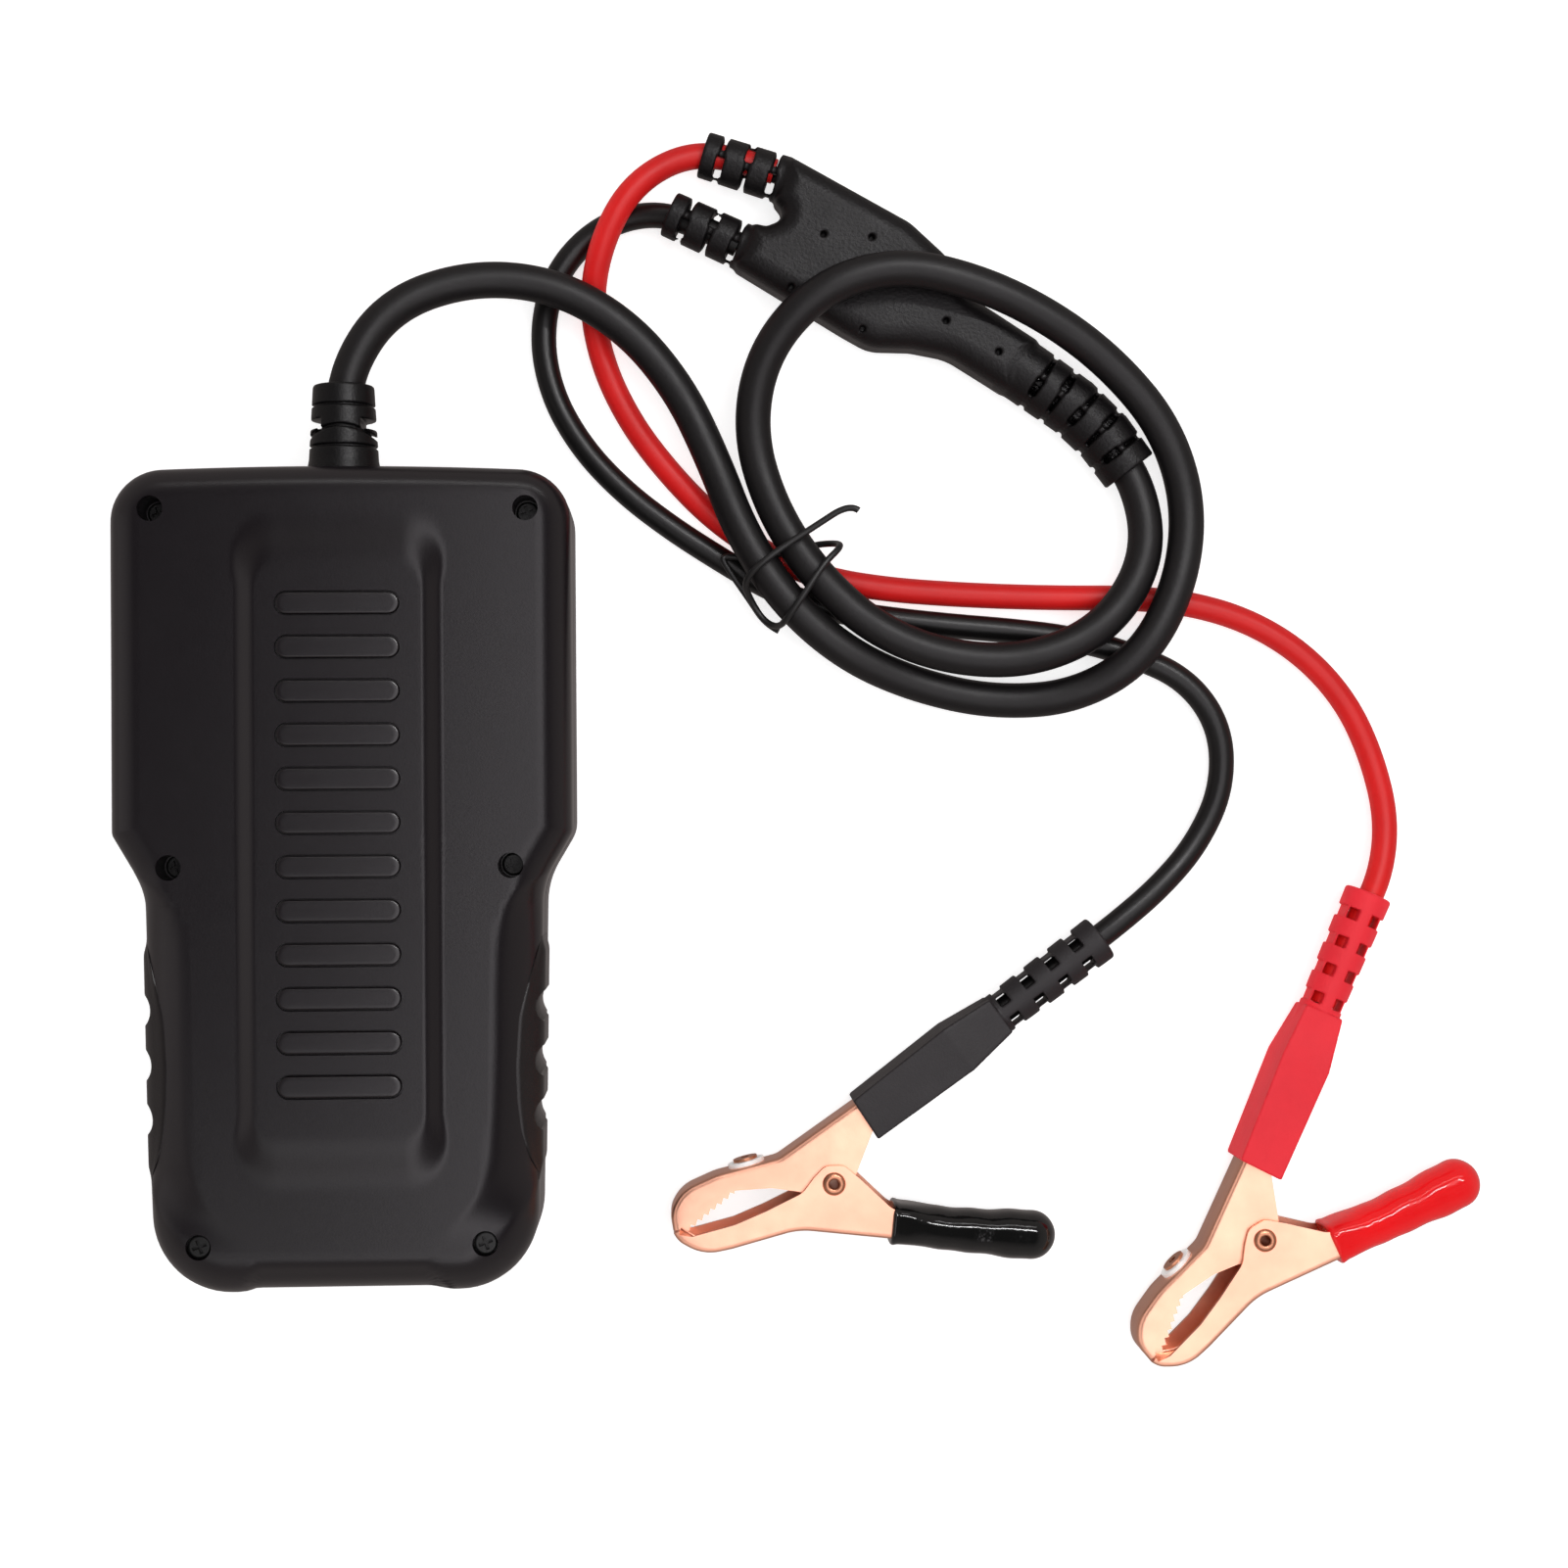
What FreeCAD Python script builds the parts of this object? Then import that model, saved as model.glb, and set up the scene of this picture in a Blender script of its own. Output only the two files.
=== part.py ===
import FreeCAD, Part
import math
import os
from FreeCAD import Vector as V

# Battery tester with clip leads, millimetres, lying face down on a table.
# Origin: middle of the housing's footprint on the table. +Y towards the cable end, +Z up out of the rear cover.

# ---------------------------------------------------------------- driving dimensions
half_w = 43.1            # housing half width, display end
half_w_grip = 37.4       # housing half width below the shoulder
half_w_end = 36.0        # housing half width at the far end
half_len = 77.84         # housing half length
z_part = 15.0            # parting plane between front and rear covers
z_rear = 30.5            # rear face
z_panel = 32.0           # raised panel
z_rib = 32.4             # ribs on the raised panel
wall = 2.2               # cover wall
rear_round = 5.5         # rounding of the rear edge
front_round = 2.6        # rounding of the front edge
rim = 1.2                # the front face is sunk this far behind its rim
front_in = 3.6           # inner face of the front panel
screw_deep = [(-34.8, 69.3), (34.8, 69.3), (-31.7, 2.4), (31.7, 2.4)]
screw_shallow = [(-26.55, -68.2), (26.55, -68.2)]
head_r, head_h, shank_r, shank_l = 2.2, 1.7, 1.3, 13.0
z_deep, z_shallow = 20.0, 27.4      # undersides of the screw heads
rib_y0, rib_pitch, rib_n, rib_half, rib_h = 51.45, 8.17, 12, 11.3, 3.8
board_z0, board_z1 = 9.0, 10.6
key_travel = 0.8
cable_d, lead_d, tie_d = 7.0, 5.0, 1.3
relief_x = -0.8
clip_z = 6.5             # mid height of a clip lying on its side
black_pivot, red_pivot, red_turn = (92.97, -60.66), (177.69, -72.89), 30.0
boot_angle = 36.4        # boot direction in the clip's own frame
boot_o = (6.5, 12.6)     # lower end of the boot in the clip's own frame
split_z = 6.4            # mid height of the Y splitter

# cord routes: control points, straight runs joined by tangent arcs
MAIN = [(-0.8, 73.5, 15.0), (-1.0, 83.9, 15.0), (-0.5, 97.6, 15.0), (7.8, 110.4, 14.1), (23.1, 116.3, 12.3),
        (39.3, 115.3, 11.1), (53.3, 107.7, 9.8), (63.7, 95.7, 8.0), (70.4, 81.4, 8.6), (75.9, 66.5, 9.8),
        (84.5, 53.1, 10.2), (96.4, 42.8, 8.6), (110.7, 36.7, 4.8), (126.5, 33.4, 3.8), (142.3, 34.4, 6.0),
        (155.2, 42.2, 9.6), (162.8, 56.7, 9.3), (164.9, 72.7, 7.5), (159.9, 87.6, 9.1), (149.2, 99.5, 11.6),
        (136.4, 108.3, 14.7), (121.8, 114.6, 17.4), (106.0, 118.0, 17.9), (90.9, 113.3, 17.6),
        (80.3, 101.9, 13.4), (77.4, 86.9, 9.6), (81.8, 71.3, 9.7), (90.6, 57.8, 10.2), (102.6, 47.2, 9.6),
        (117.6, 41.7, 9.3), (133.9, 41.5, 9.3), (148.5, 48.4, 9.4), (156.9, 62.4, 8.2), (154.7, 77.7, 6.6),
        (145.9, 88.4, 6.3), (137.8, 95.0, 6.4)]
RED = [(83.0, 138.6, 6.4), (75.4, 141.4, 6.4), (64.7, 141.8, 6.7), (54.5, 134.8, 9.3), (48.6, 123.9, 8.0),
       (46.4, 113.0, 2.8), (48.8, 100.6, 2.6), (54.3, 89.2, 2.6), (61.8, 79.3, 2.6), (70.4, 70.4, 2.6),
       (80.6, 63.3, 2.6), (92.1, 58.3, 2.6), (104.4, 56.2, 2.6), (116.8, 55.2, 2.6), (129.1, 54.6, 2.6),
       (141.5, 54.3, 2.6), (153.9, 54.3, 2.6), (166.3, 53.1, 2.6), (178.2, 49.4, 2.6), (188.8, 42.8, 2.6),
       (197.2, 33.5, 2.6), (202.4, 22.2, 2.7), (205.1, 9.5, 3.6), (203.0, -2.0, 5.9), (197.9, -11.0, 6.7),
       (194.1, -19.3, 6.5), (190.83, -27.11, 6.5)]
BLACK = [(75.7, 124.1, 6.4), (68.6, 127.5, 6.6), (59.1, 131.1, 4.6), (48.0, 128.4, 2.6), (39.4, 119.2, 2.6),
         (36.5, 107.2, 2.6), (38.5, 95.2, 2.6), (44.4, 84.6, 2.6), (52.6, 75.8, 2.6), (62.2, 68.4, 2.6),
         (72.3, 61.9, 2.6), (82.7, 55.7, 2.6), (94.0, 51.9, 2.6), (106.0, 50.1, 2.6), (117.9, 48.8, 2.6),
         (129.9, 47.8, 2.6), (141.9, 46.3, 2.6), (153.6, 43.1, 2.6), (165.0, 38.0, 2.6), (171.8, 28.4, 2.6),
         (172.1, 16.2, 2.6), (166.8, 5.1, 3.2), (158.6, -3.7, 5.4), (149.0, -11.4, 6.6), (141.2, -17.1, 6.6),
         (134.0, -22.6, 6.5), (127.2, -27.6, 6.5)]
TIE = [(98.4, 70.3, 16.6), (96.6, 71.6, 16.4), (89.7, 67.2, 15.3), (83.4, 63.2, 14.9), (78.7, 59.7, 14.6),
       (76.1, 56.8, 11.3), (77.8, 53.4, 7.3), (80.2, 49.6, 6.9), (82.9, 48.1, 9.1), (84.5, 49.5, 13.6),
       (87.7, 54.1, 15.3), (91.8, 60.3, 14.8), (95.2, 63.6, 13.2), (94.9, 64.8, 8.5), (90.6, 64.9, 5.1),
       (83.5, 62.8, 6.1), (76.2, 62.3, 5.3), (71.8, 62.6, 6.0), (73.3, 59.9, 6.0), (77.4, 54.0, 5.6),
       (80.6, 49.2, 4.6), (83.2, 47.8, 5.2)]

os.makedirs("parts", exist_ok=True)
made = {}


def save(name, shape):
    solids = shape.Solids
    good = all(s.isValid() and s.Volume > 0 for s in solids)
    if len(solids) == 1:
        shape = solids[0]
    else:
        shape = Part.makeCompound(solids)
    made[name] = shape
    shape.exportStep("parts/%s.step" % name)
    bb = shape.BoundBox
    print("%-22s solids %d ok %s vol %9.1f  x %.1f..%.1f y %.1f..%.1f z %.2f..%.2f" % (
        name, len(solids), good, sum(s.Volume for s in solids), bb.XMin, bb.XMax, bb.YMin, bb.YMax, bb.ZMin, bb.ZMax))


def rpoly(pts, z=0.0):
    """Closed wire of straight sides with a rounded corner (x, y, r) at each point."""
    n = len(pts)
    seg = []
    for i in range(n):
        p0 = V(pts[i - 1][0], pts[i - 1][1], z)
        p = V(pts[i][0], pts[i][1], z)
        p1 = V(pts[(i + 1) % n][0], pts[(i + 1) % n][1], z)
        r = pts[i][2] if len(pts[i]) > 2 else 0.0
        a = (p0 - p)
        a.normalize()
        b = (p1 - p)
        b.normalize()
        ang = a.getAngle(b)
        if r <= 0 or abs(math.pi - ang) < 1e-4:
            seg.append((p, None, p))
            continue
        t = r / math.tan(ang / 2)
        bis = a + b
        bis.normalize()
        seg.append((p + a * t, p + bis * (r / math.sin(ang / 2) - r), p + b * t))
    edges = []
    for i in range(n):
        s, m, e = seg[i]
        if m is not None:
            edges.append(Part.Arc(s, m, e).toShape())
        nx = seg[(i + 1) % n][0]
        if (nx - e).Length > 1e-6:
            edges.append(Part.LineSegment(e, nx).toShape())
    return Part.Wire(edges)


def ext(wire, h):
    return Part.Face(wire).extrude(V(0, 0, h))


def prism(pts, z0, z1):
    return ext(rpoly(pts, z0), z1 - z0)


def box(x0, x1, y0, y1, z0, z1):
    return Part.makeBox(x1 - x0, y1 - y0, z1 - z0, V(x0, y0, z0))


def cyl(x, y, z0, z1, r):
    return Part.makeCylinder(r, z1 - z0, V(x, y, z0))


def rrect(cx, cy, w, h, r, z0, z1):
    x0, x1, y0, y1 = cx - w / 2, cx + w / 2, cy - h / 2, cy + h / 2
    return prism([(x0, y0, r), (x1, y0, r), (x1, y1, r), (x0, y1, r)], z0, z1)


def edges_at(shape, z, tol=1e-3):
    return [e for e in shape.Edges if abs(e.BoundBox.ZMin - z) < tol and abs(e.BoundBox.ZMax - z) < tol]


def fillet_try(shape, edges, radii, what):
    for r in radii:
        try:
            f = shape.makeFillet(r, edges)
            if f.isValid() and f.Volume > 0 and len(f.Solids) == 1:
                return f
        except Exception:
            pass
    print("no fillet on", what)
    return shape


def tube(pts, d, report=None):
    """Round tube along straight runs joined by tangent arcs, each as large as its runs allow."""
    P = [V(*p) for p in pts]
    edges, radii = [], []
    cur = P[0]
    for i in range(1, len(P) - 1):
        a = P[i - 1] - P[i]
        b = P[i + 1] - P[i]
        la, lb = a.Length, b.Length
        a.normalize()
        b.normalize()
        ang = a.getAngle(b)
        half = (math.pi - ang) / 2
        t = 0.45 * min(la, lb)
        r = t / math.tan(half)
        radii.append(r)
        s, e = P[i] + a * t, P[i] + b * t
        bis = a + b
        bis.normalize()
        m = P[i] + bis * (r / math.cos(half) - r)
        if (s - cur).Length > 1e-6:
            edges.append(Part.LineSegment(cur, s).toShape())
        edges.append(Part.Arc(s, m, e).toShape())
        cur = e
    edges.append(Part.LineSegment(cur, P[-1]).toShape())
    path = Part.Wire(edges)
    dirn = P[1] - P[0]
    prof = Part.Wire([Part.Circle(P[0], dirn, d / 2).toShape()])
    sh = path.makePipeShell([prof], True, False)
    if not sh.Solids:
        sh = Part.Solid(sh)
    if sh.Volume < 0:
        sh.reverse()
    if report:
        want = math.pi * d * d / 4 * path.Length
        print("%s: length %.1f, volume/section*length %.4f, radii min %.1f: %s" % (
            report, path.Length, sh.Volume / want, min(radii), " ".join("%.0f" % r for r in radii)))
    return sh


# ---------------------------------------------------------------- housing outline
outline_pts = [(-half_w, 76.75, 9.5), (0, 77.9, 200), (half_w, 76.75, 9.5), (half_w, 8.4, 6.2),
               (half_w_grip, -1.2, 16), (half_w_end, -half_len, 15), (-half_w_end, -half_len, 15),
               (-half_w_grip, -1.2, 16), (-half_w, 8.4, 6.2)]


def outline(z, inset=0.0):
    w = rpoly(outline_pts, z)
    if inset:
        w = w.makeOffset2D(-inset)
    return w


def side_x(y):
    return half_w_grip + (y + 1.2) * (half_w_grip - half_w_end) / (half_len - 1.2)


# ---------------------------------------------------------------- side grips
def scallops(sign):
    """Three finger scallops on one side, running the full height of the housing."""
    return [cyl(sign * (side_x(yc) - 0.95 + 3.7), yc, -1, 40, 3.7) for yc in (-24.5, -34.8, -45.0)]


def grip(sign):
    y0, y1 = -11.5, -57.0
    pts = [(side_x(y0) - 1.4, y0, 0), (side_x(y0), y0, 0), (side_x(-15) + 0.6, -15, 4),
           (side_x(-53.5) + 0.6, -53.5, 4), (side_x(y1), y1, 0), (side_x(y1) - 1.4, y1, 0)]
    g = prism(pts, 7.0, 23.5)
    for b in scallops(1):
        g = g.cut(b)
    env = prism(pts, 7.0, 23.5)
    if sign < 0:
        g = g.mirror(V(0, 0, 0), V(1, 0, 0))
        env = env.mirror(V(0, 0, 0), V(1, 0, 0))
    return g, env


grip_r, env_r = grip(1)
grip_l, env_l = grip(-1)
save("grip_right", grip_r)
save("grip_left", grip_l)

cable_hole = Part.makeCylinder(5.7, 12, V(relief_x, 70, z_part), V(0, 1, 0))

# ---------------------------------------------------------------- rear cover
rear = ext(outline(z_part), z_rear - z_part)
rear = fillet_try(rear, edges_at(rear, z_rear), (rear_round, 5.0, 4.5), "rear edge")
inner = ext(outline(z_part, wall), z_rear - wall - z_part)
inner = fillet_try(inner, edges_at(inner, z_rear - wall), (3.5, 3.0, 2.5), "inner rear edge")
rear = rear.cut(inner)
panel_lo = rpoly([(-18.6, -55.0, 7), (18.6, -55.0, 7), (18.6, 66.5, 7), (-18.6, 66.5, 7)], z_rear - 0.3)
panel_hi = rpoly([(-16.1, -47.8, 5), (16.1, -47.8, 5), (16.1, 58.8, 5), (-16.1, 58.8, 5)], z_panel)
panel = Part.makeLoft([panel_lo, panel_hi], True, True)
rear = rear.fuse(panel)
for (x, y) in screw_deep:
    rear = rear.fuse(cyl(x, y, z_part, z_rear - 1.5, 4.0))
for (x, y) in screw_shallow:
    rear = rear.fuse(cyl(x, y, 22.0, z_rear - 1.5, 4.0))
for i in range(rib_n):
    yc = rib_y0 - i * rib_pitch
    rear = rear.fuse(rrect(0, yc, 2 * rib_half, rib_h, rib_h / 2 - 0.01, z_panel - 0.2, z_rib))
for (x, y) in screw_deep:
    rear = rear.cut(cyl(x, y, z_deep, 40, 2.35)).cut(cyl(x, y, 10, 40, 1.5))
for (x, y) in screw_shallow:
    rear = rear.cut(cyl(x, y, z_shallow, 40, 2.35)).cut(cyl(x, y, 10, 40, 1.5))
notch = Part.makeLoft([rpoly([(-16.7, -73.2), (16.7, -73.2), (19.6, -79.5), (-19.6, -79.5)], 31.0),
                       rpoly([(-15.5, -74.6), (15.5, -74.6), (18.0, -79.5), (-18.0, -79.5)], 26.5)], True, True)
rear = rear.cut(notch).cut(env_r).cut(env_l).cut(cable_hole)
for b in scallops(1) + scallops(-1):
    rear = rear.cut(b)
rear = rear.removeSplitter()
save("rear_cover", rear)

# ---------------------------------------------------------------- front cover
front = ext(outline(0.0), z_part)
front = fillet_try(front, edges_at(front, 0.0), (front_round, 2.0, 1.5), "front edge")
front = front.cut(ext(outline(front_in, wall), 20))
front = front.cut(ext(outline(-1.0, 5.0), 1.0 + rim))
disp_cy = 36.0
keys = {"key_up": (0.0, -14.0, 13.0, 9.0), "key_down": (0.0, -46.0, 13.0, 9.0), "key_left": (-19.0, -30.0, 11.0, 11.0),
        "key_right": (19.0, -30.0, 11.0, 11.0), "key_enter": (0.0, -30.0, 14.0, 14.0), "key_exit": (-18.0, -46.5, 11.0, 8.0)}


def key_r(w, h):
    return min(w, h) / 2 - 0.05 if w == h else 3.0


for (x, y) in screw_deep:
    front = front.fuse(cyl(x, y, front_in - 0.5, z_part, 3.6))
for (x, y) in screw_shallow:
    front = front.fuse(cyl(x, y, front_in - 0.5, 21.9, 3.6))
posts = [(-31.0, 62.0), (31.0, 62.0), (-23.5, -55.0), (23.5, -55.0)]
for (x, y) in posts:
    front = front.fuse(cyl(x, y, front_in - 0.5, board_z0, 2.6))
front = front.cut(rrect(0, disp_cy, 60.0, 44.0, 2.0, -1, 2.3)).cut(rrect(0, disp_cy, 54.0, 38.0, 1.0, -1, 9))
for k, (x, y, w, h) in keys.items():
    front = front.cut(rrect(x, y, w + 0.4, h + 0.4, key_r(w, h) + 0.2, -1, 6))
for (x, y) in screw_deep:
    front = front.cut(cyl(x, y, z_deep - shank_l - 0.5, 30, shank_r))
for (x, y) in screw_shallow:
    front = front.cut(cyl(x, y, z_shallow - shank_l - 0.5, 30, shank_r))
for (x, y) in posts:
    front = front.cut(cyl(x, y, 4.4, 12, 0.9))
front = front.cut(env_r).cut(env_l).cut(cable_hole)
for b in scallops(1) + scallops(-1):
    front = front.cut(b)
front = front.removeSplitter()
save("front_cover", front)

# thin printed overlay glued into the sunk front face
over = ext(outline(rim - 0.3, 5.4), 0.3)
over = over.cut(rrect(0, disp_cy, 60.4, 44.4, 2.2, 0, 3))
for k, (x, y, w, h) in keys.items():
    over = over.cut(rrect(x, y, w + 0.8, h + 0.8, key_r(w, h) + 0.4, 0, 3))
save("front_overlay", over)

# ---------------------------------------------------------------- cover screws
screws = []
for (x, y), z in [(p, z_deep) for p in screw_deep] + [(p, z_shallow) for p in screw_shallow]:
    s = cyl(x, y, z, z + head_h, head_r)
    s = fillet_try(s, edges_at(s, z + head_h), (0.5,), "screw head")
    s = s.fuse(cyl(x, y, z - shank_l, z + 0.1, shank_r))
    for a in (0, 90):
        c = box(-1.35, 1.35, -0.32, 0.32, z + head_h - 1.0, z + head_h + 1)
        c.rotate(V(0, 0, 0), V(0, 0, 1), a + 20)
        c.translate(V(x, y, 0))
        s = s.cut(c)
    screws.append(s.removeSplitter())
save("cover_screws", Part.makeCompound(screws))

# ---------------------------------------------------------------- display, keys and board
save("display_window", rrect(0, disp_cy, 59.8, 43.8, 1.9, 1.0, 2.3))
save("lcd_panel", rrect(0, disp_cy, 58.0, 42.0, 0.8, 3.7, 6.1))
save("lcd_frame", rrect(0, disp_cy, 60.0, 44.0, 1.0, 6.1, 8.95).cut(rrect(0, disp_cy, 54.0, 38.0, 1.0, 6.0, 8.2)))

switches = []
for k, (x, y, w, h) in keys.items():
    r = key_r(w, h)
    cap = rrect(x, y, w, h, r, 0.35, front_in + 0.2)
    cap = fillet_try(cap, edges_at(cap, 0.35), (0.5, 0.3), k)
    cap = cap.fuse(rrect(x, y, w + 1.6, h + 1.6, r + 0.8, front_in + 0.15, 4.6))
    cap = cap.fuse(cyl(x, y, 4.5, 4.75, 1.4))
    # generic pictogram sunk into the key top
    if k == "key_up":
        mark = prism([(x - 2.2, y - 1.3), (x + 2.2, y - 1.3), (x, y + 1.9)], 0, 0.6)
    elif k == "key_down":
        mark = prism([(x - 2.2, y + 1.3), (x + 2.2, y + 1.3), (x, y - 1.9)], 0, 0.6)
    elif k == "key_left":
        mark = prism([(x + 1.3, y - 2.2), (x + 1.3, y + 2.2), (x - 1.9, y)], 0, 0.6)
    elif k == "key_right":
        mark = prism([(x - 1.3, y - 2.2), (x - 1.3, y + 2.2), (x + 1.9, y)], 0, 0.6)
    elif k == "key_enter":
        mark = cyl(x, y, 0, 0.6, 3.0).cut(cyl(x, y, 0, 0.6, 2.2))
    else:
        mark = prism([(x - 2.6, y), (x - 0.4, y + 1.9), (x - 0.4, y + 0.5), (x + 2.4, y + 0.5), (x + 2.4, y - 0.5),
                      (x - 0.4, y - 0.5), (x - 0.4, y - 1.9)], 0, 0.6)
    save(k, cap.cut(mark).removeSplitter())
    switches.append(rrect(x, y, 6, 6, 0.5, 6.2, board_z0).fuse(cyl(x, y, 5.6, 6.3, 1.5)))
save("key_switches", Part.makeCompound(switches))

board = prism([(-34, 8.5), (-34, 64.5, 1), (34, 64.5, 1), (34, 8.5), (27, 6), (27, -59, 1), (-27, -59, 1), (-27, 6)],
              board_z0, board_z1)
bscrews = []
for (x, y) in posts:
    board = board.cut(cyl(x, y, 8, 12, 1.1))
    s = cyl(x, y, board_z1, board_z1 + 1.3, 2.0)
    s = fillet_try(s, edges_at(s, board_z1 + 1.3), (0.5,), "board screw")
    s = s.fuse(cyl(x, y, 4.6, board_z1 + 0.1, 0.9))
    for a in (0, 90):
        c = box(-1.1, 1.1, -0.25, 0.25, board_z1 + 0.6, 20)
        c.rotate(V(0, 0, 0), V(0, 0, 1), a)
        c.translate(V(x, y, 0))
        s = s.cut(c)
    bscrews.append(s.removeSplitter())
save("main_board", board)
save("board_screws", Part.makeCompound(bscrews))
save("processor_chip", rrect(0, -4, 12, 12, 0.3, board_z1, board_z1 + 1.4))
caps = []
for x in (-22.0, -12.0):
    c = cyl(x, 46, board_z1, board_z1 + 11, 4.0)
    caps.append(fillet_try(c, edges_at(c, board_z1 + 11), (0.6,), "capacitor"))
save("capacitors", Part.makeCompound(caps))
save("shunt_resistors", Part.makeCompound([box(x - 4, x + 4, 20, 42, board_z1, board_z1 + 8) for x in (10, 22)]))
buzz = cyl(14, -44, board_z1, board_z1 + 7, 6).cut(cyl(14, -44, board_z1 + 5, 30, 1.2))
save("buzzer", buzz)
conn = box(-8.8, 7.2, 54, 62, board_z1, 17.6)
wires = []
for i, dx in enumerate((-1.65, -0.55, 0.55, 1.65)):
    xa, xb = relief_x + dx, relief_x + dx * 3.2
    wires.append(tube([(xa, 73.43, z_part), (xa, 69.5, z_part + 0.05), (xb, 65.0, 14.5), (xb, 60.0, 14.4)], 0.95))
for w_, dx in zip(wires, (-1.65, -0.55, 0.55, 1.65)):
    xb = relief_x + dx * 3.2
    conn = conn.cut(Part.makeCylinder(0.55, 3, V(xb, 59.9, 14.4), V(0, 1, 0)))
save("cable_connector", conn)
save("inner_wires", Part.makeCompound(wires))

# ---------------------------------------------------------------- strain relief on the housing
Y = V(0, 1, 0)


def ycyl(r, y0, y1):
    return Part.makeCylinder(r, y1 - y0, V(relief_x, y0, z_part), Y)


main_bore = tube(MAIN[:5], cable_d + 0.3)
relief = ycyl(7.2, 71.6, 75.3).fuse(ycyl(5.5, 75.2, 78.3))
relief = relief.fuse(Part.makeCone(6.75, 5.8, 94.0 - 78.1, V(relief_x, 78.1, z_part), Y))
relief = relief.fuse(ycyl(7.1, 78.1, 79.0))
for yc in (83.2, 90.4):
    relief = relief.cut(ycyl(9, yc - 0.28, yc + 0.28).cut(ycyl(5.6, yc - 0.3, yc + 0.3)))
for sgn in (-1, 1):
    x0, x1 = (relief_x - 9, relief_x - 3.9) if sgn < 0 else (relief_x + 3.9, relief_x + 9)
    relief = relief.cut(box(x0, x1, 85.9, 87.6, 0, 30))
relief = relief.cut(main_bore).cut(ycyl(2.6, 71, 74)).removeSplitter()
save("strain_relief", relief)

# ---------------------------------------------------------------- cords
main_cable = tube(MAIN, cable_d, "main_cable")
red_lead = tube(RED, lead_d, "red_lead")
black_lead = tube(BLACK, lead_d, "black_lead")
save("main_cable", main_cable)
save("red_lead", red_lead)
save("black_lead", black_lead)
save("twist_tie", tube(TIE, tie_d, "twist_tie"))

# ---------------------------------------------------------------- Y splitter
body_pts = [(85.6, 141.0, 1), (109.6, 127.9, 10), (116.6, 121.4, 9), (121.0, 113.6, 10), (134.6, 104.6, 1),
            (128.2, 94.4, 1), (116.8, 101.8, 12), (109.6, 103.2, 9), (101.4, 103.4, 9), (96.2, 106.3, 9),
            (74.8, 119.6, 1), (78.4, 127.6, 1), (81.2, 127.0, 1.6), (85.6, 128.6, 1.6), (82.8, 132.5, 1)]
split = prism(body_pts, 0.0, 2 * split_z)
split = fillet_try(split, edges_at(split, 0.0) + edges_at(split, 2 * split_z), (3.4, 2.8, 2.2, 1.5, 0.9), "splitter body")


def ring_tail(pts, core_d, ring_d, first, pitch, width, count):
    """Slotted tail: a core tube with thick rings, along a straight line between rings."""
    P = [V(*p) for p in pts]
    shp = tube(pts, core_d) if len(pts) > 2 else Part.makeCylinder(core_d / 2, (P[1] - P[0]).Length, P[0], P[1] - P[0])
    run = []
    for a, b in zip(P, P[1:]):
        run.append((a, b, (b - a).Length))
    for i in range(count):
        s = first + i * pitch
        acc = 0.0
        for a, b, L in run:
            if s <= acc + L or b is P[-1]:
                d = b - a
                d.normalize()
                shp = shp.fuse(Part.makeCylinder(ring_d / 2, width, a + d * (s - acc), d))
                break
            acc += L
    return shp


main_tail = [(153.2, 79.2, split_z), (148.2, 86.0, split_z), (142.0, 92.0, split_z), (133.0, 98.4, split_z), (127.0, 102.4, split_z)]
red_tail = [(68.9, 141.9, split_z), (90.0, 135.3, split_z)]
black_tail = [(62.1, 130.2, split_z), (81.0, 121.6, split_z)]
split = split.fuse(ring_tail(main_tail, 9.6, 11.4, 0.0, 5.0, 3.4, 5))
split = split.fuse(ring_tail(red_tail, 7.4, 9.2, 0.0, 4.9, 3.3, 4))
split = split.fuse(ring_tail(black_tail, 7.4, 9.2, 0.0, 4.9, 3.3, 4))
split = split.cut(tube(MAIN[-5:], cable_d + 0.3)).cut(tube(RED[:5], lead_d + 0.3)).cut(tube(BLACK[:5], lead_d + 0.3))
split = split.removeSplitter()
if len(split.Solids) > 1:
    split = max(split.Solids, key=lambda s: s.Volume)
save("y_splitter", split)

# ---------------------------------------------------------------- battery clip, in its own frame: pivot at the origin
zc = clip_z
sheet = 0.9
fix_half, mov_in, mov_half = 4.6, 4.85, 5.7
ua = math.radians(boot_angle)
ux, uy = math.cos(ua), math.sin(ua)


def bo(s, v):
    return (boot_o[0] + ux * s - uy * v, boot_o[1] + uy * s + ux * v)


web_fixed = [bo(20, 3.4) + (0,), (-10.9, 4.9, 4), (-23.2, 1.8, 10), (-29.8, -1.1, 6), (-32.0, -5.2, 4), (-31.4, -8.9, 0)]
rest_fixed = [(-30.3, -9.0, 0), (-28.6, -6.2, 3), (-24.8, -2.9, 4), (-19.2, -1.2, 4), (-12.1, -0.8, 6), (-6.6, -1.6, 3),
              (-3.2, -3.4, 2.5), (3.2, -3.4, 2.5), (4.4, 1.7, 1.5), bo(0.2, -2.3) + (1,), bo(20, -2.3) + (0,)]
web_fixed_in = [bo(21, 2.5) + (0,), (-10.75, 3.95, 4), (-22.95, 0.9, 9), (-29.2, -1.8, 5), (-31.08, -5.3, 3), (-30.5, -9.8, 0)]
web_mov = [(40.0, -14.2, 0), (-6.9, -9.0, 10), (-19.8, -12.5, 12), (-25.6, -13.7, 4), (-30.4, -10.9, 2), (-31.3, -9.4, 0)]
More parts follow.
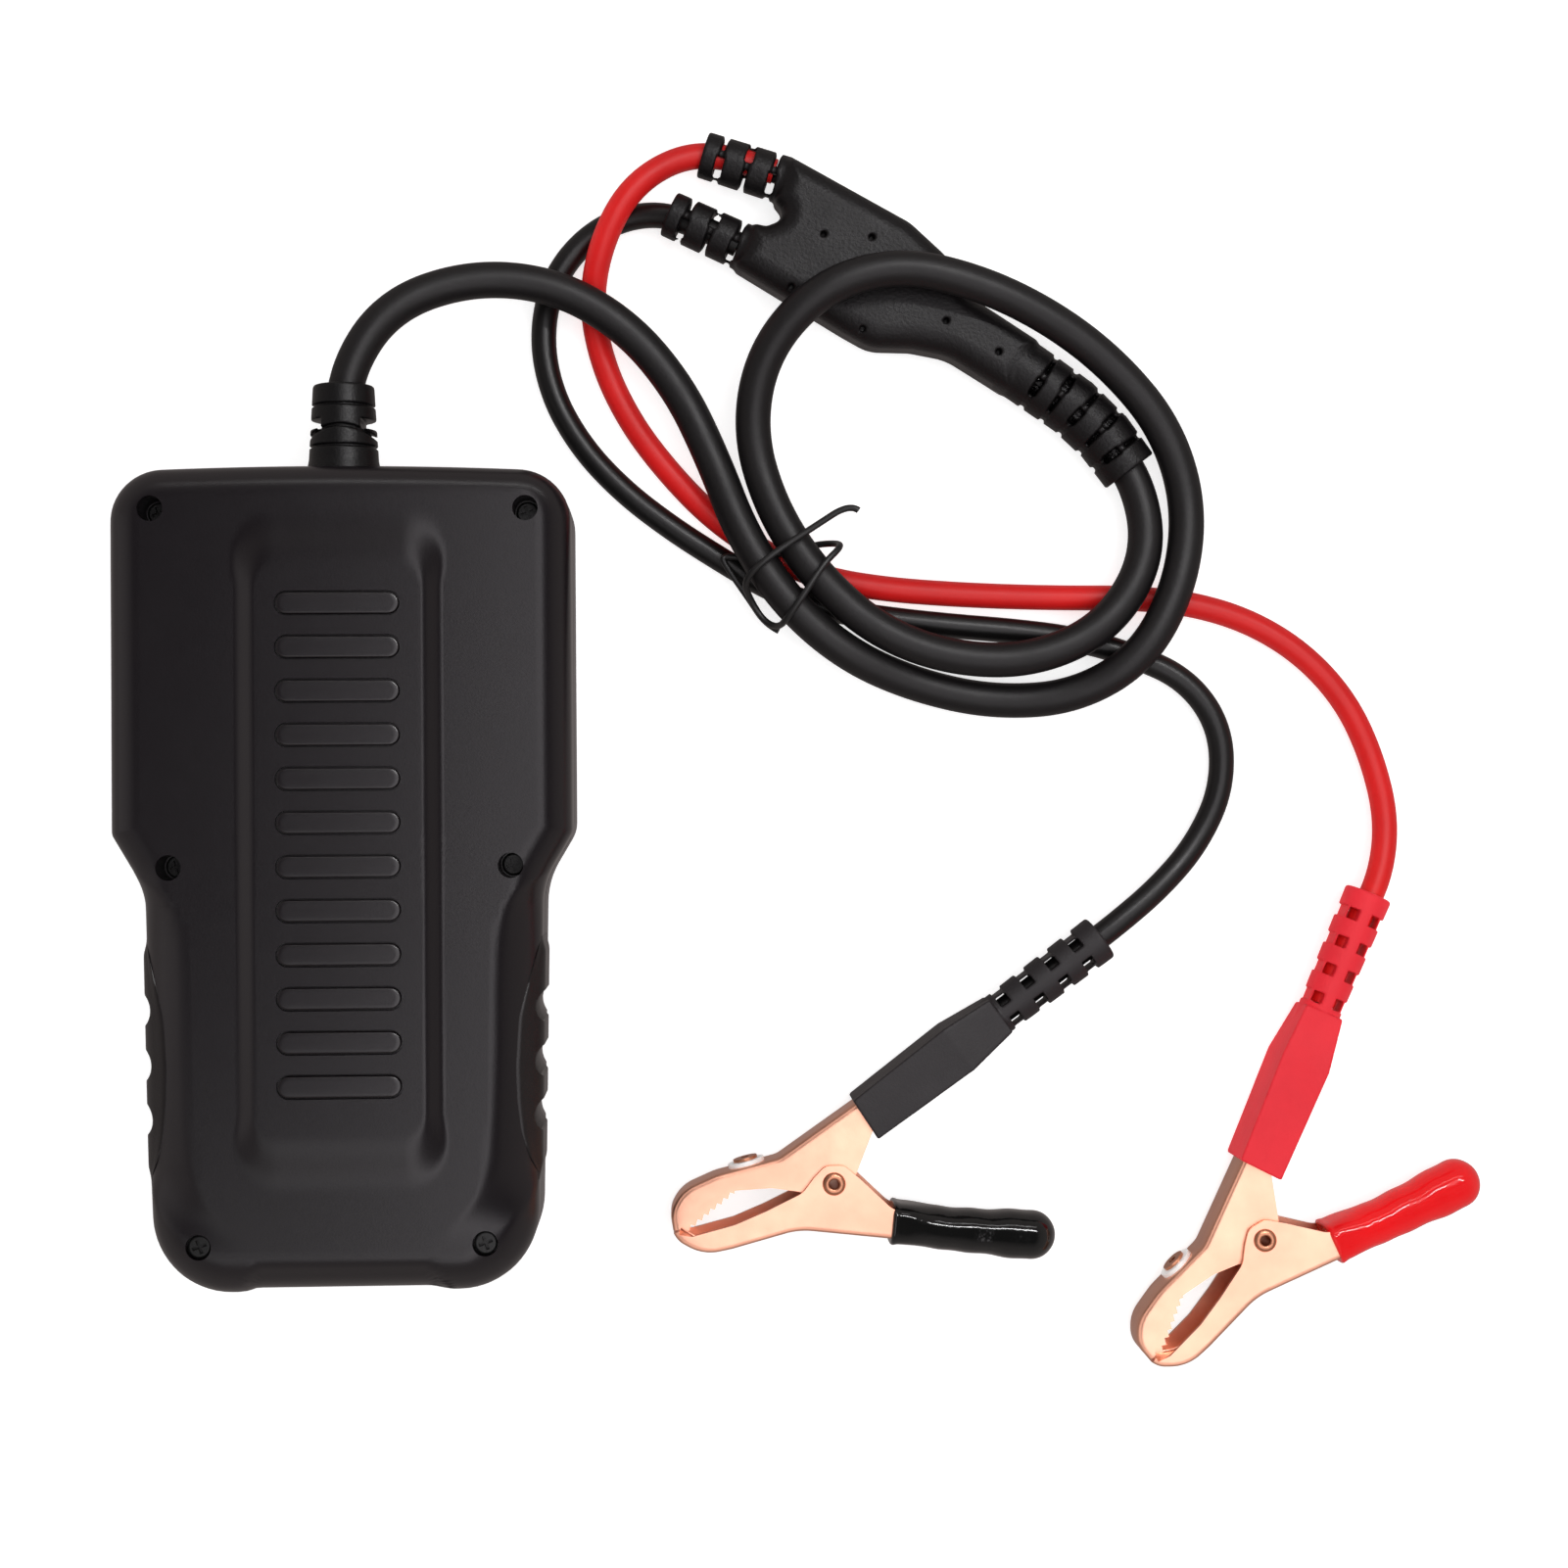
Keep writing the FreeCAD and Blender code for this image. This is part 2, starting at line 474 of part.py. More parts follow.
rest_mov = [(-30.2, -9.35, 0), (-27.7, -9.9, 1), (-19.4, -7.75, 6), (-13.3, -5.2, 8), (-6.1, -1.7, 4), (-3.9, 1.2, 2),
            (-1.7, 3.5, 2), (2.0, 3.5, 2), (5.2, 0.8, 2), (11.7, -5.4, 5), (40.0, -8.4, 0)]
web_mov_in = [(41.0, -13.4, 0), (-6.9, -8.1, 9), (-19.7, -11.55, 11), (-25.3, -12.7, 3.2), (-29.7, -10.4, 1.2), (-30.45, -9.0, 0)]
seat = (-16.9, 3.39)                 # rivet seat on the outside of the fixed jaw
nrm = V(-0.2445, 0.9697, 0)


def ncyl(r, d0, d1):
    """Cylinder along the rivet axis, from d0 to d1 measured outwards from the jaw's outer face."""
    return Part.makeCylinder(r, d1 - d0, V(seat[0], seat[1], zc) + nrm * d0, nrm)


def web_edges(shape, web, z):
    w = rpoly(web + [(5, -30, 0)] if False else web, 0)
    out = []
    mids = []
    for e in w.Edges:
        mids.append(e)
    for e in edges_at(shape, z):
        m = e.valueAt((e.FirstParameter + e.LastParameter) / 2)
        p = Part.Vertex(V(m.x, m.y, 0))
        if min(p.distToShape(q)[0] for q in mids[:-1]) < 0.02:
            out.append(e)
    return out


def channel(web, rest, web_in, open_pts, zh_out, zh_in, what):
    out = prism(web + rest, zc - zh_out, zc + zh_out)
    env = out
    ed = web_edges(out, web, zc - zh_out) + web_edges(out, web, zc + zh_out)
    out = fillet_try(out, ed, (1.1, 0.8, 0.5), what)
    pocket = prism(web_in + open_pts, zc - zh_in, zc + zh_in)
    return out.cut(pocket), env


fixed, fixed_env = channel(web_fixed, rest_fixed, web_fixed_in, [(-26, -13, 0), (8, -9, 0), (14, 6, 0), bo(21, -6) + (0,)],
                           fix_half, fix_half - sheet, "fixed jaw")
fixed = fixed.cut(cyl(0, 0, -5, 20, 1.5)).cut(ncyl(2.2, -3, 3)).removeSplitter()
moving, moving_env = channel(web_mov, rest_mov, web_mov_in, [(-27, 6, 0), (8, 8, 0), (41, -3, 0)], mov_half, mov_in, "moving jaw")
moving = moving.cut(cyl(0, 0, -5, 20, 1.56)).removeSplitter()

# toothed contact strip, insulated from the fixed jaw
strip_web = [(-19.2, 0.85, 0), (-22.6, 0.02, 8), (-28.5, -2.55, 4), (-30.15, -5.6, 2.5), (-29.8, -8.5, 0)]
t0, t1 = (-28.3, -9.2), (-19.4, -2.0)
teeth = []
nt = 7
L = math.hypot(t1[0] - t0[0], t1[1] - t0[1])
dx, dy = (t1[0] - t0[0]) / L, (t1[1] - t0[1]) / L
for i in range(nt):
    a = L * i / nt
    teeth.append((t0[0] + dx * a, t0[1] + dy * a, 0))
    b = L * (i + 0.7) / nt
    teeth.append((t0[0] + dx * b - dy * 0.8, t0[1] + dy * b + dx * 0.8, 0))
teeth.append(t1 + (0,))
strip = prism(strip_web + teeth, zc - 3.5, zc + 3.5)
strip_in = [(-18.0, -0.22, 0), (-22.45, -0.8, 7), (-27.9, -3.15, 3.2), (-29.3, -5.7, 1.7), (-29.0, -10.5, 0), (-18, -10.5, 0)]
strip = strip.cut(prism(strip_in, zc - 2.7, zc + 2.7))
tab = prism([(-12.6, 2.53, 0), (-19.3, 0.83, 0), (-19.3, -0.02, 0), (-12.4, 1.72, 0)], zc - 3.5, zc + 3.5)
strip = strip.fuse(tab).cut(ncyl(1.4, -5, 3)).removeSplitter()

rivet = ncyl(1.4, -2.9, 1.2).fuse(ncyl(2.4, 0.8, 1.4)).fuse(ncyl(2.0, -3.3, -2.72))
rivet = rivet.cut(ncyl(0.8, 0.2, 3)).removeSplitter()
insul = [ncyl(3.6, 0.0, 0.8).fuse(ncyl(2.2, -0.9, 0.2)).cut(ncyl(1.4, -3, 3)).removeSplitter(),
         ncyl(2.9, -1.88, -0.96).cut(ncyl(1.4, -3, 3))]

eyelet = cyl(0, 0, zc - 6.15, zc + 6.15, 1.5).fuse(cyl(0, 0, zc + 5.8, zc + 6.15, 2.1)).fuse(cyl(0, 0, zc - 6.15, zc - 5.8, 2.1))
eyelet = eyelet.cut(cyl(0, 0, -5, 20, 0.92)).removeSplitter()

spring = cyl(0, 0, zc - 3.0, zc + 3.0, 3.1).cut(cyl(0, 0, 0, 20, 2.05))


def rod(p, q, r):
    a, b = V(*p), V(*q)
    return Part.makeCylinder(r, (b - a).Length, a, b - a)


spring = spring.fuse(rod((-2.35, 1.1, zc + 2.4), (9.6, 17.2, zc + 2.4), 0.5)).fuse(rod((-0.6, -2.5, zc - 2.4), (13.0, -9.7, zc - 2.4), 0.5))
spring = spring.cut(cyl(0, 0, 0, 20, 2.05)).removeSplitter()

# boot: grip body, then a slotted ribbed sleeve round the lead
def sect(s, v, h, r):
    """Rounded rectangle across the boot's axis."""
    c = bo(s, 0)
    pts = [(-v, -h), (v, -h), (v, h), (-v, h)]
    w = rpoly([(p[0], p[1], r) for p in pts], 0)
    m = FreeCAD.Matrix()
    # local x -> across, local y -> up, local z -> along
    m.A11, m.A12, m.A13, m.A14 = -uy, 0, ux, c[0]
    m.A21, m.A22, m.A23, m.A24 = ux, 0, uy, c[1]
    m.A31, m.A32, m.A33, m.A34 = 0, 1, 0, zc
    return w.transformGeometry(m)


def bcyl(s0, s1, r, r2=None):
    a = bo(s0, 0)
    d = V(ux, uy, 0)
    if r2 is None:
        return Part.makeCylinder(r, s1 - s0, V(a[0], a[1], zc), d)
    return Part.makeCone(r, r2, s1 - s0, V(a[0], a[1], zc), d)


def bbox_cut(s0, s1, v0, v1):
    return prism([bo(s0, v0), bo(s1, v0), bo(s1, v1), bo(s0, v1)], zc - 8, zc + 8)


boot = Part.makeLoft([sect(0, 4.5, 6.5, 0.8), sect(22.5, 5.0, 6.5, 0.8)], True, True)
boot = boot.fuse(Part.makeLoft([sect(22.5, 5.0, 6.5, 0.8), sect(33.2, 3.9, 4.6, 0.8)], True, True))
boot = boot.fuse(bcyl(32.8, 58.5, 4.1, 4.7))
for s in (35.4, 41.4, 47.4, 53.4):
    boot = boot.cut(bbox_cut(s - 1.1, s + 1.1, 1.3, 3.2)).cut(bbox_cut(s - 1.1, s + 1.1, -3.2, -1.3))
    boot = boot.cut(bbox_cut(s - 1.1, s + 1.1, 3.75, 9)).cut(bbox_cut(s - 1.1, s + 1.1, -9, -3.75))
boot = boot.cut(fixed_env)

# dipped handle sleeve on the moving jaw
ha = math.atan2(-14.2 + 8.4 - 0.0, 0.0)
hd = V(28.3, -2.87, 0)
hd.normalize()


def hsect(d, w, h, r, off=0.0):
    """Rounded rectangle across the handle at distance d from its start."""
    c0 = V(11.4, -8.65, zc) + hd * d + V(-hd.y, hd.x, 0) * off
    w_ = rpoly([(-w, -h, r), (w, -h, r), (w, h, r), (-w, h, r)], 0)
    m = FreeCAD.Matrix()
    m.A11, m.A12, m.A13, m.A14 = -hd.y, 0, hd.x, c0.x
    m.A21, m.A22, m.A23, m.A24 = hd.x, 0, hd.y, c0.y
    m.A31, m.A32, m.A33, m.A34 = 0, 1, 0, c0.z
    return w_.transformGeometry(m)


sleeve = Part.makeLoft([hsect(0, 3.9, 6.25, 1.8), hsect(12, 3.95, 6.3, 2.2), hsect(24, 4.4, 6.3, 2.6), hsect(29.5, 4.7, 6.2, 3.2)], True, True)
sleeve = sleeve.fuse(Part.makeLoft([hsect(29.5, 4.7, 6.2, 3.2), hsect(31.6, 3.9, 5.2, 3.0), hsect(32.6, 2.4, 3.6, 2.0)], True, True))
sleeve = sleeve.cut(moving_env).removeSplitter()


def place(shape, pivot, turn):
    s = shape.copy()
    s.rotate(V(0, 0, 0), V(0, 0, 1), turn)
    s.translate(V(pivot[0], pivot[1], 0))
    return s


for name, pivot, turn, route in (("black", black_pivot, 0.0, BLACK), ("red", red_pivot, red_turn, RED)):
    b = place(boot, pivot, turn).cut(tube(route[-6:], lead_d + 0.3)).removeSplitter()
    if len(b.Solids) > 1:
        b = max(b.Solids, key=lambda s: s.Volume)
    save(name + "_boot", b)
    save(name + "_fixed_jaw", place(fixed, pivot, turn))
    save(name + "_moving_jaw", place(moving, pivot, turn))
    save(name + "_contact_strip", place(strip, pivot, turn))
    save(name + "_insulator", Part.makeCompound([place(i, pivot, turn) for i in insul]))
    save(name + "_contact_rivet", place(rivet, pivot, turn))
    save(name + "_pivot_rivet", place(eyelet, pivot, turn))
    save(name + "_spring", place(spring, pivot, turn))
    save(name + "_sleeve", place(sleeve, pivot, turn))

print(len(made), "nodes")
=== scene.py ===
import bpy, bmesh, math
import numpy as np
from mathutils import Vector, Matrix


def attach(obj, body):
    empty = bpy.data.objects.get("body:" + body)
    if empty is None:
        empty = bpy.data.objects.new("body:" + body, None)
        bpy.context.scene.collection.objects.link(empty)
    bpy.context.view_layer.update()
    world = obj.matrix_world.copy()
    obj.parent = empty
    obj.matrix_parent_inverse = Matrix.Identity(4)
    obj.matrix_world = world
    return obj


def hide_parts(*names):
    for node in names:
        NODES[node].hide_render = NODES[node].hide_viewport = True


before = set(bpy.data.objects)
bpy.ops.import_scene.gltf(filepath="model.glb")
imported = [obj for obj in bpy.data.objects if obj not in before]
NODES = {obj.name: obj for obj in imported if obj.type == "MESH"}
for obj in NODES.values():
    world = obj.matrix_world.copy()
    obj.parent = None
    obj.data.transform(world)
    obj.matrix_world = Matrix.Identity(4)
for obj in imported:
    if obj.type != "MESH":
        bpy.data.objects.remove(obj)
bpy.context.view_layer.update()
MM = 0.001

# ------------------------------------------------------------------ cord routes, millimetres
MAIN = [(-0.8, 73.5, 15.0), (-1.0, 83.9, 15.0), (-0.5, 97.6, 15.0), (7.8, 110.4, 14.1), (23.1, 116.3, 12.3),
        (39.3, 115.3, 11.1), (53.3, 107.7, 9.8), (63.7, 95.7, 8.0), (70.4, 81.4, 8.6), (75.9, 66.5, 9.8),
        (84.5, 53.1, 10.2), (96.4, 42.8, 8.6), (110.7, 36.7, 4.8), (126.5, 33.4, 3.8), (142.3, 34.4, 6.0),
        (155.2, 42.2, 9.6), (162.8, 56.7, 9.3), (164.9, 72.7, 7.5), (159.9, 87.6, 9.1), (149.2, 99.5, 11.6),
        (136.4, 108.3, 14.7), (121.8, 114.6, 17.4), (106.0, 118.0, 17.9), (90.9, 113.3, 17.6),
        (80.3, 101.9, 13.4), (77.4, 86.9, 9.6), (81.8, 71.3, 9.7), (90.6, 57.8, 10.2), (102.6, 47.2, 9.6),
        (117.6, 41.7, 9.3), (133.9, 41.5, 9.3), (148.5, 48.4, 9.4), (156.9, 62.4, 8.2), (154.7, 77.7, 6.6),
        (145.9, 88.4, 6.3), (137.8, 95.0, 6.4)]
RED = [(83.0, 138.6, 6.4), (75.4, 141.4, 6.4), (64.7, 141.8, 6.7), (54.5, 134.8, 9.3), (48.6, 123.9, 8.0),
       (46.4, 113.0, 2.8), (48.8, 100.6, 2.6), (54.3, 89.2, 2.6), (61.8, 79.3, 2.6), (70.4, 70.4, 2.6),
       (80.6, 63.3, 2.6), (92.1, 58.3, 2.6), (104.4, 56.2, 2.6), (116.8, 55.2, 2.6), (129.1, 54.6, 2.6),
       (141.5, 54.3, 2.6), (153.9, 54.3, 2.6), (166.3, 53.1, 2.6), (178.2, 49.4, 2.6), (188.8, 42.8, 2.6),
       (197.2, 33.5, 2.6), (202.4, 22.2, 2.7), (205.1, 9.5, 3.6), (203.0, -2.0, 5.9), (197.9, -11.0, 6.7),
       (194.1, -19.3, 6.5), (190.83, -27.11, 6.5)]
BLACK = [(75.7, 124.1, 6.4), (68.6, 127.5, 6.6), (59.1, 131.1, 4.6), (48.0, 128.4, 2.6), (39.4, 119.2, 2.6),
         (36.5, 107.2, 2.6), (38.5, 95.2, 2.6), (44.4, 84.6, 2.6), (52.6, 75.8, 2.6), (62.2, 68.4, 2.6),
         (72.3, 61.9, 2.6), (82.7, 55.7, 2.6), (94.0, 51.9, 2.6), (106.0, 50.1, 2.6), (117.9, 48.8, 2.6),
         (129.9, 47.8, 2.6), (141.9, 46.3, 2.6), (153.6, 43.1, 2.6), (165.0, 38.0, 2.6), (171.8, 28.4, 2.6),
         (172.1, 16.2, 2.6), (166.8, 5.1, 3.2), (158.6, -3.7, 5.4), (149.0, -11.4, 6.6), (141.2, -17.1, 6.6),
         (134.0, -22.6, 6.5), (127.2, -27.6, 6.5)]


# ------------------------------------------------------------------ materials
def node(nt, kind, **kw):
    n = nt.nodes.new(kind)
    for k, v in kw.items():
        setattr(n, k, v)
    return n


def surface(name, col, rough=0.5, metallic=0.0, spec=0.5, var=0.12, var_scale=60.0, grain=0.0, grain_scale=2500.0,
            rough_var=0.08, coat=0.0, coat_rough=0.1, dots=0.0, stretch=None, bump_dist=0.0002, sheen=0.0):
    """Procedural surface: colour drift, roughness drift and a fine bump, all from noise in object space."""
    m = bpy.data.materials.new(name)
    m.use_nodes = True
    nt = m.node_tree
    b = nt.nodes["Principled BSDF"]
    tc = node(nt, "ShaderNodeTexCoord")
    vec = tc.outputs["Object"]
    if stretch:
        mp = node(nt, "ShaderNodeMapping")
        mp.inputs["Scale"].default_value = stretch
        nt.links.new(vec, mp.inputs["Vector"])
        vec = mp.outputs["Vector"]
    n1 = node(nt, "ShaderNodeTexNoise")
    n1.inputs["Scale"].default_value = var_scale
    n1.inputs["Detail"].default_value = 5.0
    nt.links.new(vec, n1.inputs["Vector"])
    ramp = node(nt, "ShaderNodeValToRGB")
    lo = [c * (1 - var) for c in col]
    hi = [min(1.0, c * (1 + var)) for c in col]
    ramp.color_ramp.elements[0].position = 0.3
    ramp.color_ramp.elements[1].position = 0.7
    ramp.color_ramp.elements[0].color = (*lo, 1)
    ramp.color_ramp.elements[1].color = (*hi, 1)
    nt.links.new(n1.outputs["Fac"], ramp.inputs["Fac"])
    colour = ramp.outputs["Color"]
    if dots > 0:
        # sparse pale specks of dust
        vo = node(nt, "ShaderNodeTexVoronoi")
        vo.inputs["Scale"].default_value = 160.0
        nt.links.new(vec, vo.inputs["Vector"])
        lt = node(nt, "ShaderNodeMath", operation="LESS_THAN")
        lt.inputs[1].default_value = 0.018
        nt.links.new(vo.outputs["Distance"], lt.inputs[0])
        sp = node(nt, "ShaderNodeMath", operation="MULTIPLY")
        sp.inputs[1].default_value = dots
        nt.links.new(lt.outputs[0], sp.inputs[0])
        mx = node(nt, "ShaderNodeMix", data_type="RGBA")
        mx.inputs[7].default_value = (0.45, 0.45, 0.45, 1)
        nt.links.new(sp.outputs[0], mx.inputs[0])
        nt.links.new(colour, mx.inputs[6])
        colour = mx.outputs[2]
    nt.links.new(colour, b.inputs["Base Color"])
    n2 = node(nt, "ShaderNodeTexNoise")
    n2.inputs["Scale"].default_value = var_scale * 3.1
    n2.inputs["Detail"].default_value = 4.0
    nt.links.new(vec, n2.inputs["Vector"])
    mr = node(nt, "ShaderNodeMapRange")
    mr.inputs["To Min"].default_value = max(0.02, rough - rough_var)
    mr.inputs["To Max"].default_value = min(1.0, rough + rough_var)
    nt.links.new(n2.outputs["Fac"], mr.inputs["Value"])
    nt.links.new(mr.outputs["Result"], b.inputs["Roughness"])
    b.inputs["Metallic"].default_value = metallic
    b.inputs["Specular IOR Level"].default_value = spec
    if coat:
        b.inputs["Coat Weight"].default_value = coat
        b.inputs["Coat Roughness"].default_value = coat_rough
    if sheen:
        b.inputs["Sheen Weight"].default_value = sheen
        b.inputs["Sheen Roughness"].default_value = 0.4
    if grain > 0:
        n3 = node(nt, "ShaderNodeTexNoise")
        n3.inputs["Scale"].default_value = grain_scale
        n3.inputs["Detail"].default_value = 3.0
        n3.inputs["Roughness"].default_value = 0.6
        nt.links.new(vec, n3.inputs["Vector"])
        bp = node(nt, "ShaderNodeBump")
        bp.inputs["Strength"].default_value = grain
        bp.inputs["Distance"].default_value = bump_dist
        nt.links.new(n3.outputs["Fac"], bp.inputs["Height"])
        nt.links.new(bp.outputs["Normal"], b.inputs["Normal"])
    return m


M = {}
M["housing"] = surface("m_housing", (0.0044, 0.0027, 0.0042), rough=0.29, spec=0.70, var=0.04, rough_var=0.015, grain=0.07, grain_scale=2600, dots=0.0)
M["grip"] = surface("m_grip", (0.0070, 0.0054, 0.0058), rough=0.34, spec=0.45, var=0.08, grain=0.25, grain_scale=2600)
M["screw_black"] = surface("m_screw", (0.012, 0.012, 0.012), rough=0.35, spec=0.5, metallic=0.4, var=0.2, grain=0.1)
M["cable_black"] = surface("m_cable", (0.0050, 0.0042, 0.0046), rough=0.46, spec=0.39, var=0.12, grain=0.2, grain_scale=1200)
M["relief_black"] = surface("m_relief", (0.0040, 0.0038, 0.0041), rough=0.38, spec=0.28, var=0.12, grain=0.3, grain_scale=1800)
M["splitter_black"] = surface("m_splitter", (0.0044, 0.0037, 0.0041), rough=0.42, spec=0.28, var=0.12, grain=0.6, grain_scale=1500)
M["lead_black"] = surface("m_lead_black", (0.0046, 0.0041, 0.0042), rough=0.36, spec=0.4, var=0.12, grain=0.15, grain_scale=1200)
M["lead_red"] = surface("m_lead_red", (0.71, 0.013, 0.013), rough=0.42, spec=0.23, var=0.10, grain=0.15, grain_scale=1200)
M["boot_black"] = surface("m_boot_black", (0.0150, 0.0126, 0.0140), rough=0.55, spec=0.4, var=0.1, grain=0.3, grain_scale=2200)
M["boot_red"] = surface("m_boot_red", (0.87, 0.027, 0.042), rough=0.6, spec=0.20, var=0.07, grain=0.3, grain_scale=2200)
M["sleeve_black"] = surface("m_sleeve_black", (0.006, 0.006, 0.006), rough=0.09, spec=0.45, var=0.2, rough_var=0.06, grain=0.12, grain_scale=260, bump_dist=0.001, coat=0.25, coat_rough=0.03)
M["sleeve_red"] = surface("m_sleeve_red", (0.90, 0.010, 0.013), rough=0.09, spec=0.4, var=0.08, rough_var=0.06, grain=0.12, grain_scale=260, bump_dist=0.001, coat=0.25, coat_rough=0.03)
M["copper"] = surface("m_copper", (0.95, 0.49, 0.34), rough=0.33, metallic=1.0, var=0.09, rough_var=0.1, grain=0.1, grain_scale=900, var_scale=110)
M["rivet"] = surface("m_rivet", (0.66, 0.30, 0.18), rough=0.34, metallic=1.0, var=0.08, grain=0.15, grain_scale=1200)
M["white_plastic"] = surface("m_nylon", (0.93, 0.93, 0.92), rough=0.4, var=0.03, grain=0.1)
M["steel"] = surface("m_steel", (0.55, 0.54, 0.52), rough=0.32, metallic=1.0, var=0.08, grain=0.1, stretch=(1, 1, 8))
M["tie"] = surface("m_tie", (0.010, 0.0098, 0.010), rough=0.4, spec=0.45, var=0.15, grain=0.15)
M["overlay"] = surface("m_overlay", (0.075, 0.082, 0.09), rough=0.35, var=0.05, grain=0.08, grain_scale=4000)
M["key"] = surface("m_key", (0.16, 0.17, 0.19), rough=0.55, var=0.06, grain=0.25, grain_scale=2500)
M["window"] = surface("m_window", (0.05, 0.055, 0.055), rough=0.06, spec=0.6, var=0.1, coat=0.6, coat_rough=0.03)
M["lcd"] = surface("m_lcd", (0.24, 0.29, 0.2), rough=0.35, var=0.04, grain=0.05)
M["board"] = surface("m_board", (0.02, 0.13, 0.05), rough=0.4, var=0.2, var_scale=300, grain=0.15)
M["chip"] = surface("m_chip", (0.02, 0.02, 0.02), rough=0.5, var=0.1, grain=0.2)
M["shunt"] = surface("m_shunt", (0.42, 0.40, 0.35), rough=0.6, var=0.12, grain=0.3)

# ------------------------------------------------------------------ finishes of the carried-over solids
FINISH = {"rear_cover": "housing", "front_cover": "housing", "grip_left": "grip", "grip_right": "grip", "cover_screws": "screw_black",
          "strain_relief": "relief_black", "y_splitter": "splitter_black", "twist_tie": "tie", "front_overlay": "overlay",
          "display_window": "window", "lcd_panel": "lcd", "lcd_frame": "white_plastic", "main_board": "board", "board_screws": "steel",
          "processor_chip": "chip", "capacitors": "chip", "shunt_resistors": "shunt", "buzzer": "chip", "cable_connector": "white_plastic",
          "inner_wires": "lead_red", "key_switches": "chip", "main_cable": "cable_black", "red_lead": "lead_red", "black_lead": "lead_black"}
for k in ("key_up", "key_down", "key_left", "key_right", "key_enter", "key_exit"):
    FINISH[k] = "key"
for c in ("black", "red"):
    for n in ("fixed_jaw", "moving_jaw", "contact_strip"):
        FINISH["%s_%s" % (c, n)] = "copper"
    FINISH[c + "_contact_rivet"] = FINISH[c + "_pivot_rivet"] = "rivet"
    FINISH[c + "_insulator"] = "white_plastic"
    FINISH[c + "_spring"] = "steel"
    FINISH[c + "_boot"] = "boot_" + c
    FINISH[c + "_sleeve"] = "sleeve_" + c
for n, o in NODES.items():
    mats = o.data.materials
    mats.clear()
    mats.append(M[FINISH[n]])


# ------------------------------------------------------------------ cords
def spline(name, pts, d, mat, body="tester"):
    cu = bpy.data.curves.new(name, "CURVE")
    cu.dimensions = "3D"
    cu.bevel_depth = d / 2 * MM
    cu.bevel_resolution = 7
    cu.resolution_u = 14
    cu.use_fill_caps = True
    sp = cu.splines.new("NURBS")
    sp.points.add(len(pts) - 1)
    for p, q in zip(sp.points, pts):
        p.co = (q[0] * MM, q[1] * MM, q[2] * MM, 1.0)
    sp.order_u = 3
    sp.use_endpoint_u = True
    cu.materials.append(M[mat])
    o = bpy.data.objects.new(name, cu)
    bpy.context.collection.objects.link(o)
    return o


main_c = spline("cord_main", MAIN, 7.0, "cable_black")
red_c = spline("cord_red", RED, 5.0, "lead_red")
black_c = spline("cord_black", BLACK, 5.0, "lead_black")
for o, n, s in ((main_c, "main_cable", "cable_black"), (red_c, "red_lead", "lead_red"), (black_c, "black_lead", "cable_black")):
    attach(o, "tester")
    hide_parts(n)

# ------------------------------------------------------------------ mesh tools (all in millimetres until the mesh is made)
def make_obj(name, verts, faces, mat, smooth=True, sharp=None):
    me = bpy.data.meshes.new(name)
    me.from_pydata([tuple(float(c) * MM for c in v) for v in verts], [], [tuple(int(i) for i in f) for f in faces])
    me.update()
    if smooth:
        me.polygons.foreach_set("use_smooth", np.ones(len(me.polygons), dtype=bool))
        if sharp:
            me.set_sharp_from_angle(angle=math.radians(sharp))
    me.materials.append(M[mat])
    o = bpy.data.objects.new(name, me)
    bpy.context.collection.objects.link(o)
    return o


def put(o, body, slot_name, *nodes):
    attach(o, body)
    if nodes:
        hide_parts(*nodes)
    return o


def round_poly(pts, seg=10):
    """Dense closed outline with a rounded corner (x, y, r) at each point."""
    out = []
    n = len(pts)
    for i in range(n):
        p0, p, p1 = (np.array(pts[j % n][:2], float) for j in (i - 1, i, i + 1))
        r = pts[i][2] if len(pts[i]) > 2 else 0
        a, b = p0 - p, p1 - p
        a, b = a / np.linalg.norm(a), b / np.linalg.norm(b)
        ang = math.acos(max(-1, min(1, float(a @ b))))
        if r <= 0 or math.pi - ang < 1e-3:
            out.append(p)
            continue
        t = r / math.tan(ang / 2)
        bis = (a + b) / np.linalg.norm(a + b)
        c = p + bis * r / math.sin(ang / 2)
        s0, s1 = p + a * t - c, p + b * t - c
        th = math.pi - ang
        for k in range(seg + 1):
            f = k / seg
            out.append(c + (math.sin((1 - f) * th) * s0 + math.sin(f * th) * s1) / math.sin(th))
    return np.array(out)


def sd_poly(px, py, poly):
    """Signed distance to a closed outline, negative inside."""
    shape = px.shape
    x, y = px.ravel(), py.ravel()
    best = np.full(x.size, 1e18)
    inside = np.zeros(x.size, bool)
    n = len(poly)
    for i in range(n):
        ax, ay = poly[i]
        bx, by = poly[(i + 1) % n]
        ex, ey = bx - ax, by - ay
        L = ex * ex + ey * ey
        if L < 1e-18:
            continue
        wx, wy = x - ax, y - ay
        t = np.clip((wx * ex + wy * ey) / L, 0, 1)
        best = np.minimum(best, (wx - ex * t) ** 2 + (wy - ey * t) ** 2)
        cond = (ay > y) != (by > y)
        with np.errstate(divide="ignore", invalid="ignore"):
            xi = ax + (y - ay) / (by - ay if by != ay else 1e-12) * ex
        inside ^= cond & (x < xi)
    d = np.sqrt(best)
    return np.where(inside, -d, d).reshape(shape)


def smin(a, b, k):
    h = np.clip(0.5 + 0.5 * (b - a) / k, 0, 1)
    return b * (1 - h) + a * h - k * h * (1 - h)


def smax(a, b, k):
    return -smin(-a, -b, k)


def sstep(a, b, x):
    t = np.clip((x - a) / (b - a), 0, 1)
    return t * t * (3 - 2 * t)


